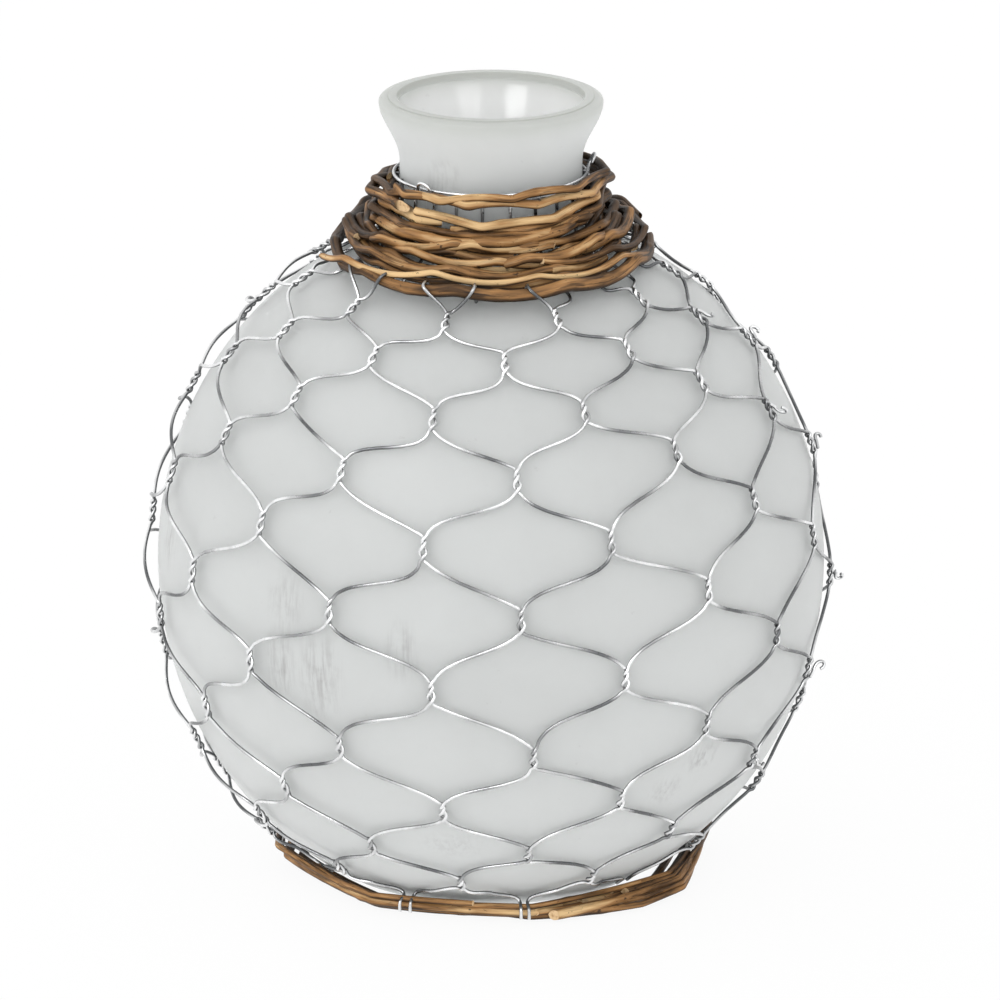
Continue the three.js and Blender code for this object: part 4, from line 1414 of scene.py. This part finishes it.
class BOTTLE_OT_collar(Operator):
    """Willow rods wound round the shoulder in two layers, with thin rods woven across"""

    bl_idname = "bottle.add_collar"
    bl_label = "Willow collar"

    def execute(self, context):
        settings = context.scene.bottle_willow
        materials = [bark_material(settings), cut_material(settings)]
        for rod in laid_collar(settings):
            draw = np.random.default_rng(rod.seed)
            path = smooth_path(rounded(around(rod.place, rod.azimuth)), ROD_SPACING)
            share = np.linspace(0, 1, len(path))
            azimuth = rod.azimuth[0] + (rod.azimuth[-1] - rod.azimuth[0]) * share
            radius = rod.radius[0] + (rod.radius[-1] - rod.radius[0]) * share
            cuts = draw.uniform(*ROD_CUTS, 2)
            new_rod(rod.names, path, azimuth, radius, rod.tone, rod.seed, materials, cuts)
        return {"FINISHED"}


class BOTTLE_OT_hoop(Operator):
    """Hoop of willow rods round the foot, bent at corners, with a brace and split strands over it"""

    bl_idname = "bottle.add_hoop"
    bl_label = "Willow hoop"

    def execute(self, context):
        settings = context.scene.bottle_willow
        materials = [bpy.data.materials["willow_bark"], bpy.data.materials["willow_cut"]]
        radius = settings.radius / MM * HOOP_SIZE
        half_gap = END_GAP / 2
        number = 0
        for place, start in zip((LOWER_ROD, UPPER_ROD), HOOP_ENDS):
            for half in (0, 180):
                azimuth = np.linspace(start + half + half_gap, start + half + 180 - half_gap, HOOP_STATIONS)
                number += 1
                self.bend((f"hoop_willow_{number:02d}", f"base_rod_{number:02d}"), azimuth,
                          np.tile(place, (len(azimuth), 1)), radius, number, materials)
        share = np.linspace(0, 1, BRACE_STATIONS)
        slope = np.radians(BRACE_SLOPES[0] + (BRACE_SLOPES[1] - BRACE_SLOPES[0]) * share)
        reach = ROD + radius * (1 - BRACE_TAPER * share) + BRACE_GAP + BRACE_BULGE * np.sin(np.pi * share)
        place = UPPER_ROD + reach[:, None] * np.stack([np.cos(slope), np.sin(slope)], axis=-1)
        azimuth = BRACE_FROM + (BRACE_TO - BRACE_FROM) * share
        self.bend(("hoop_brace", "base_brace_rod"), azimuth, place, radius, BRACE_SEED, materials)
        for number, (start, run, low, high, off, bow) in enumerate(HOOP_SPLITS):
            rise = LOWER_ALONG + (2 * ROD + HOOP_GAP) * (low + (high - low) * share)
            out = off + np.interp(share, [0, BOW_AT, 1], [0, bow, 0])
            place = on_glass(rise, ROD_LIFT) + np.stack([out, 0 * out], axis=-1)
            place = np.maximum(place, SPLIT_HEIGHT * radius)
            self.bend((f"hoop_split_{number + 1:02d}", None), start + run * share, place,
                      SPLIT_SIZE * radius, SPLIT_SEED + number, materials)
        return {"FINISHED"}

    def bend(self, names, azimuth, place, radius, seed, materials):
        """One rod of the hoop along its places in radius and height, kinked at the hoop's corners."""
        seed += HOOP_SEED
        tone = np.random.default_rng(seed).uniform(*HOOP_TONES)
        point = place + np.stack([hoop_kink(azimuth), 0 * azimuth], axis=-1)
        path = smooth_path(around(point, azimuth), ROD_SPACING)
        turned = np.linspace(azimuth[0], azimuth[-1], len(path))
        thick = np.linspace(radius, HOOP_TAPER * radius, len(path))
        new_rod(names, path, turned, thick, tone, seed, materials, HOOP_CUTS)


# Stage, in metres

# Lights: name, place, point it faces, width and height, setting of its power, share of that power, and
# whether it also lights matt surfaces or only shows in highlights
LIGHTS = (
    ("key_light", (-1.1, -1.3, 1.5), (0.0, 0.0, 0.1), (1.2, 1.2), "key", 1.0, True),
    ("left_strip", (-0.79, -1.14, 0.98), (0.0, 0.0, 0.2), (0.72, 0.7), "strip", 1.7, False),
    ("right_strip", (0.69, -1.2, 0.98), (0.0, 0.0, 0.2), (0.8, 0.7), "strip", 1.0, False),
)
CAMERA_PLACE = (0.0, -2.0, 0.729)
CAMERA_DIP = 17.44
CAMERA_SENSOR = 36
CAMERA_LENS = 279.6
CAMERA_SHIFT = 0.009
FLOOR_HALF = 3.0
FLOOR_DEPTH = -0.0003
FLOOR_COLOUR = (0.88, 0.88, 0.88, 1)
TABLE_SHARE = 0.4
RIGHT_DIM = -0.2
WHITE = (1, 1, 1, 1)


class BOTTLE_OT_stage(Operator):
    """White floor and surroundings, soft lights and the camera"""

    bl_idname = "bottle.add_stage"
    bl_label = "Stage"

    def execute(self, context):
        settings = context.scene.bottle_stage
        scene = context.scene
        scene.view_settings.view_transform = "Standard"
        self.add_floor(scene, settings)
        self.light_world(scene, settings)
        for name, place, target, size, source, share, matt in LIGHTS:
            holder = self.add_light(scene, name, place, target, size, share * getattr(settings, source))
            holder.visible_diffuse = matt
        camera = bpy.data.cameras.new("camera")
        camera.sensor_width = CAMERA_SENSOR
        camera.lens = CAMERA_LENS
        camera.shift_x = CAMERA_SHIFT
        holder = bpy.data.objects.new("camera", camera)
        holder.location = CAMERA_PLACE
        holder.rotation_euler = (np.radians(90 - CAMERA_DIP), 0.0, 0.0)
        scene.collection.objects.link(holder)
        scene.camera = holder
        return {"FINISHED"}

    def shown_white(self, tree):
        """1 for rays that come from the camera, a reflection or through glass."""
        path = add_node(tree, "ShaderNodeLightPath").outputs
        seen = maths(tree, "MAXIMUM", path["Is Camera Ray"], path["Is Glossy Ray"])
        return maths(tree, "MAXIMUM", seen, path["Is Transmission Ray"])

    def add_floor(self, scene, settings):
        """Level square under the foot, a lit table that shows white and keeps the shadow."""
        square = np.array([(-1, -1), (1, -1), (1, 1), (-1, 1)]) * FLOOR_HALF
        corners = [(x, y, FLOOR_DEPTH) for x, y in square]
        mesh = bpy.data.meshes.new("floor")
        mesh.from_pydata(corners, [], [(0, 1, 2, 3)])
        floor = bpy.data.objects.new("floor", mesh)
        scene.collection.objects.link(floor)
        material = bpy.data.materials.new("white_floor")
        material.use_nodes = True
        tree = material.node_tree
        tree.nodes.clear()
        shown = self.shown_white(tree)
        share = map_range(tree, shown, result=(TABLE_SHARE, settings.floor_light))
        glow = map_range(tree, shown, result=(settings.table, 1.0))
        matt = add_node(tree, "ShaderNodeBsdfDiffuse", {"Color": FLOOR_COLOUR}).outputs[0]
        white = add_node(tree, "ShaderNodeEmission", {"Color": WHITE, "Strength": glow}).outputs[0]
        mixed = add_node(tree, "ShaderNodeMixShader", {0: share, 1: matt, 2: white}).outputs[0]
        add_node(tree, "ShaderNodeOutputMaterial", {"Surface": mixed})
        mesh.materials.append(material)

    def light_world(self, scene, settings):
        """Light from all round, weaker towards the right, that shows as plain white."""
        world = bpy.data.worlds.new("studio")
        scene.world = world
        world.use_nodes = True
        tree = world.node_tree
        way = add_node(tree, "ShaderNodeTexCoord").outputs["Generated"]
        right = add_node(tree, "ShaderNodeSeparateXYZ", {0: way}).outputs["X"]
        ambient = maths(tree, "MULTIPLY_ADD", right, RIGHT_DIM, settings.ambient)
        strength = map_range(tree, self.shown_white(tree), result=(ambient, 1.0))
        feed(tree, tree.nodes["Background"], {"Color": WHITE, "Strength": strength})

    def add_light(self, scene, name, place, target, size, power):
        """Rectangular light that faces a point; returns the object that holds it."""
        light = bpy.data.lights.new(name, "AREA")
        light.shape = "RECTANGLE"
        light.size, light.size_y = size
        light.energy = power
        holder = bpy.data.objects.new(name, light)
        away = unit(np.array(place) - np.array(target))
        holder.location = place
        holder.rotation_euler = (np.arccos(away[2]), 0.0, np.arctan2(away[0], -away[1]))
        scene.collection.objects.link(holder)
        return holder


class BOTTLE_PT_panel(Panel):
    """Sidebar panel that lists the pieces and their settings."""

    bl_label = "Bottle"
    bl_space_type = "VIEW_3D"
    bl_region_type = "UI"
    bl_category = "Bottle"

    def draw(self, context):
        for operator in OPERATORS:
            self.layout.operator(operator.bl_idname)
        for label, group in SETTINGS.items():
            box = self.layout.box()
            box.label(text=label.replace("_", " ").capitalize())
            for key in group.__annotations__:
                box.prop(getattr(context.scene, label), key)


OPERATORS = (BOTTLE_OT_glass, BOTTLE_OT_netting, BOTTLE_OT_seam_ends, BOTTLE_OT_tie, BOTTLE_OT_collar,
             BOTTLE_OT_hoop, BOTTLE_OT_stage)
SETTINGS = {
    "bottle_glass": BottleGlassSettings,
    "bottle_wire": BottleWireSettings,
    "bottle_willow": BottleWillowSettings,
    "bottle_stage": BottleStageSettings,
}


def register():
    """Registers the classes and gives the scene its settings."""
    for group in (*SETTINGS.values(), *OPERATORS, BOTTLE_PT_panel):
        bpy.utils.register_class(group)
    for label, group in SETTINGS.items():
        setattr(bpy.types.Scene, label, PointerProperty(type=group))


def unregister():
    """Takes the settings and the classes away again."""
    for label in SETTINGS:
        delattr(bpy.types.Scene, label)
    for group in reversed((*SETTINGS.values(), *OPERATORS, BOTTLE_PT_panel)):
        bpy.utils.unregister_class(group)


def main():
    """Adds every piece in order."""
    register()
    for operator in OPERATORS:
        group, name = operator.bl_idname.split(".")
        getattr(getattr(bpy.ops, group), name)()


if __name__ == "__main__":
    main()
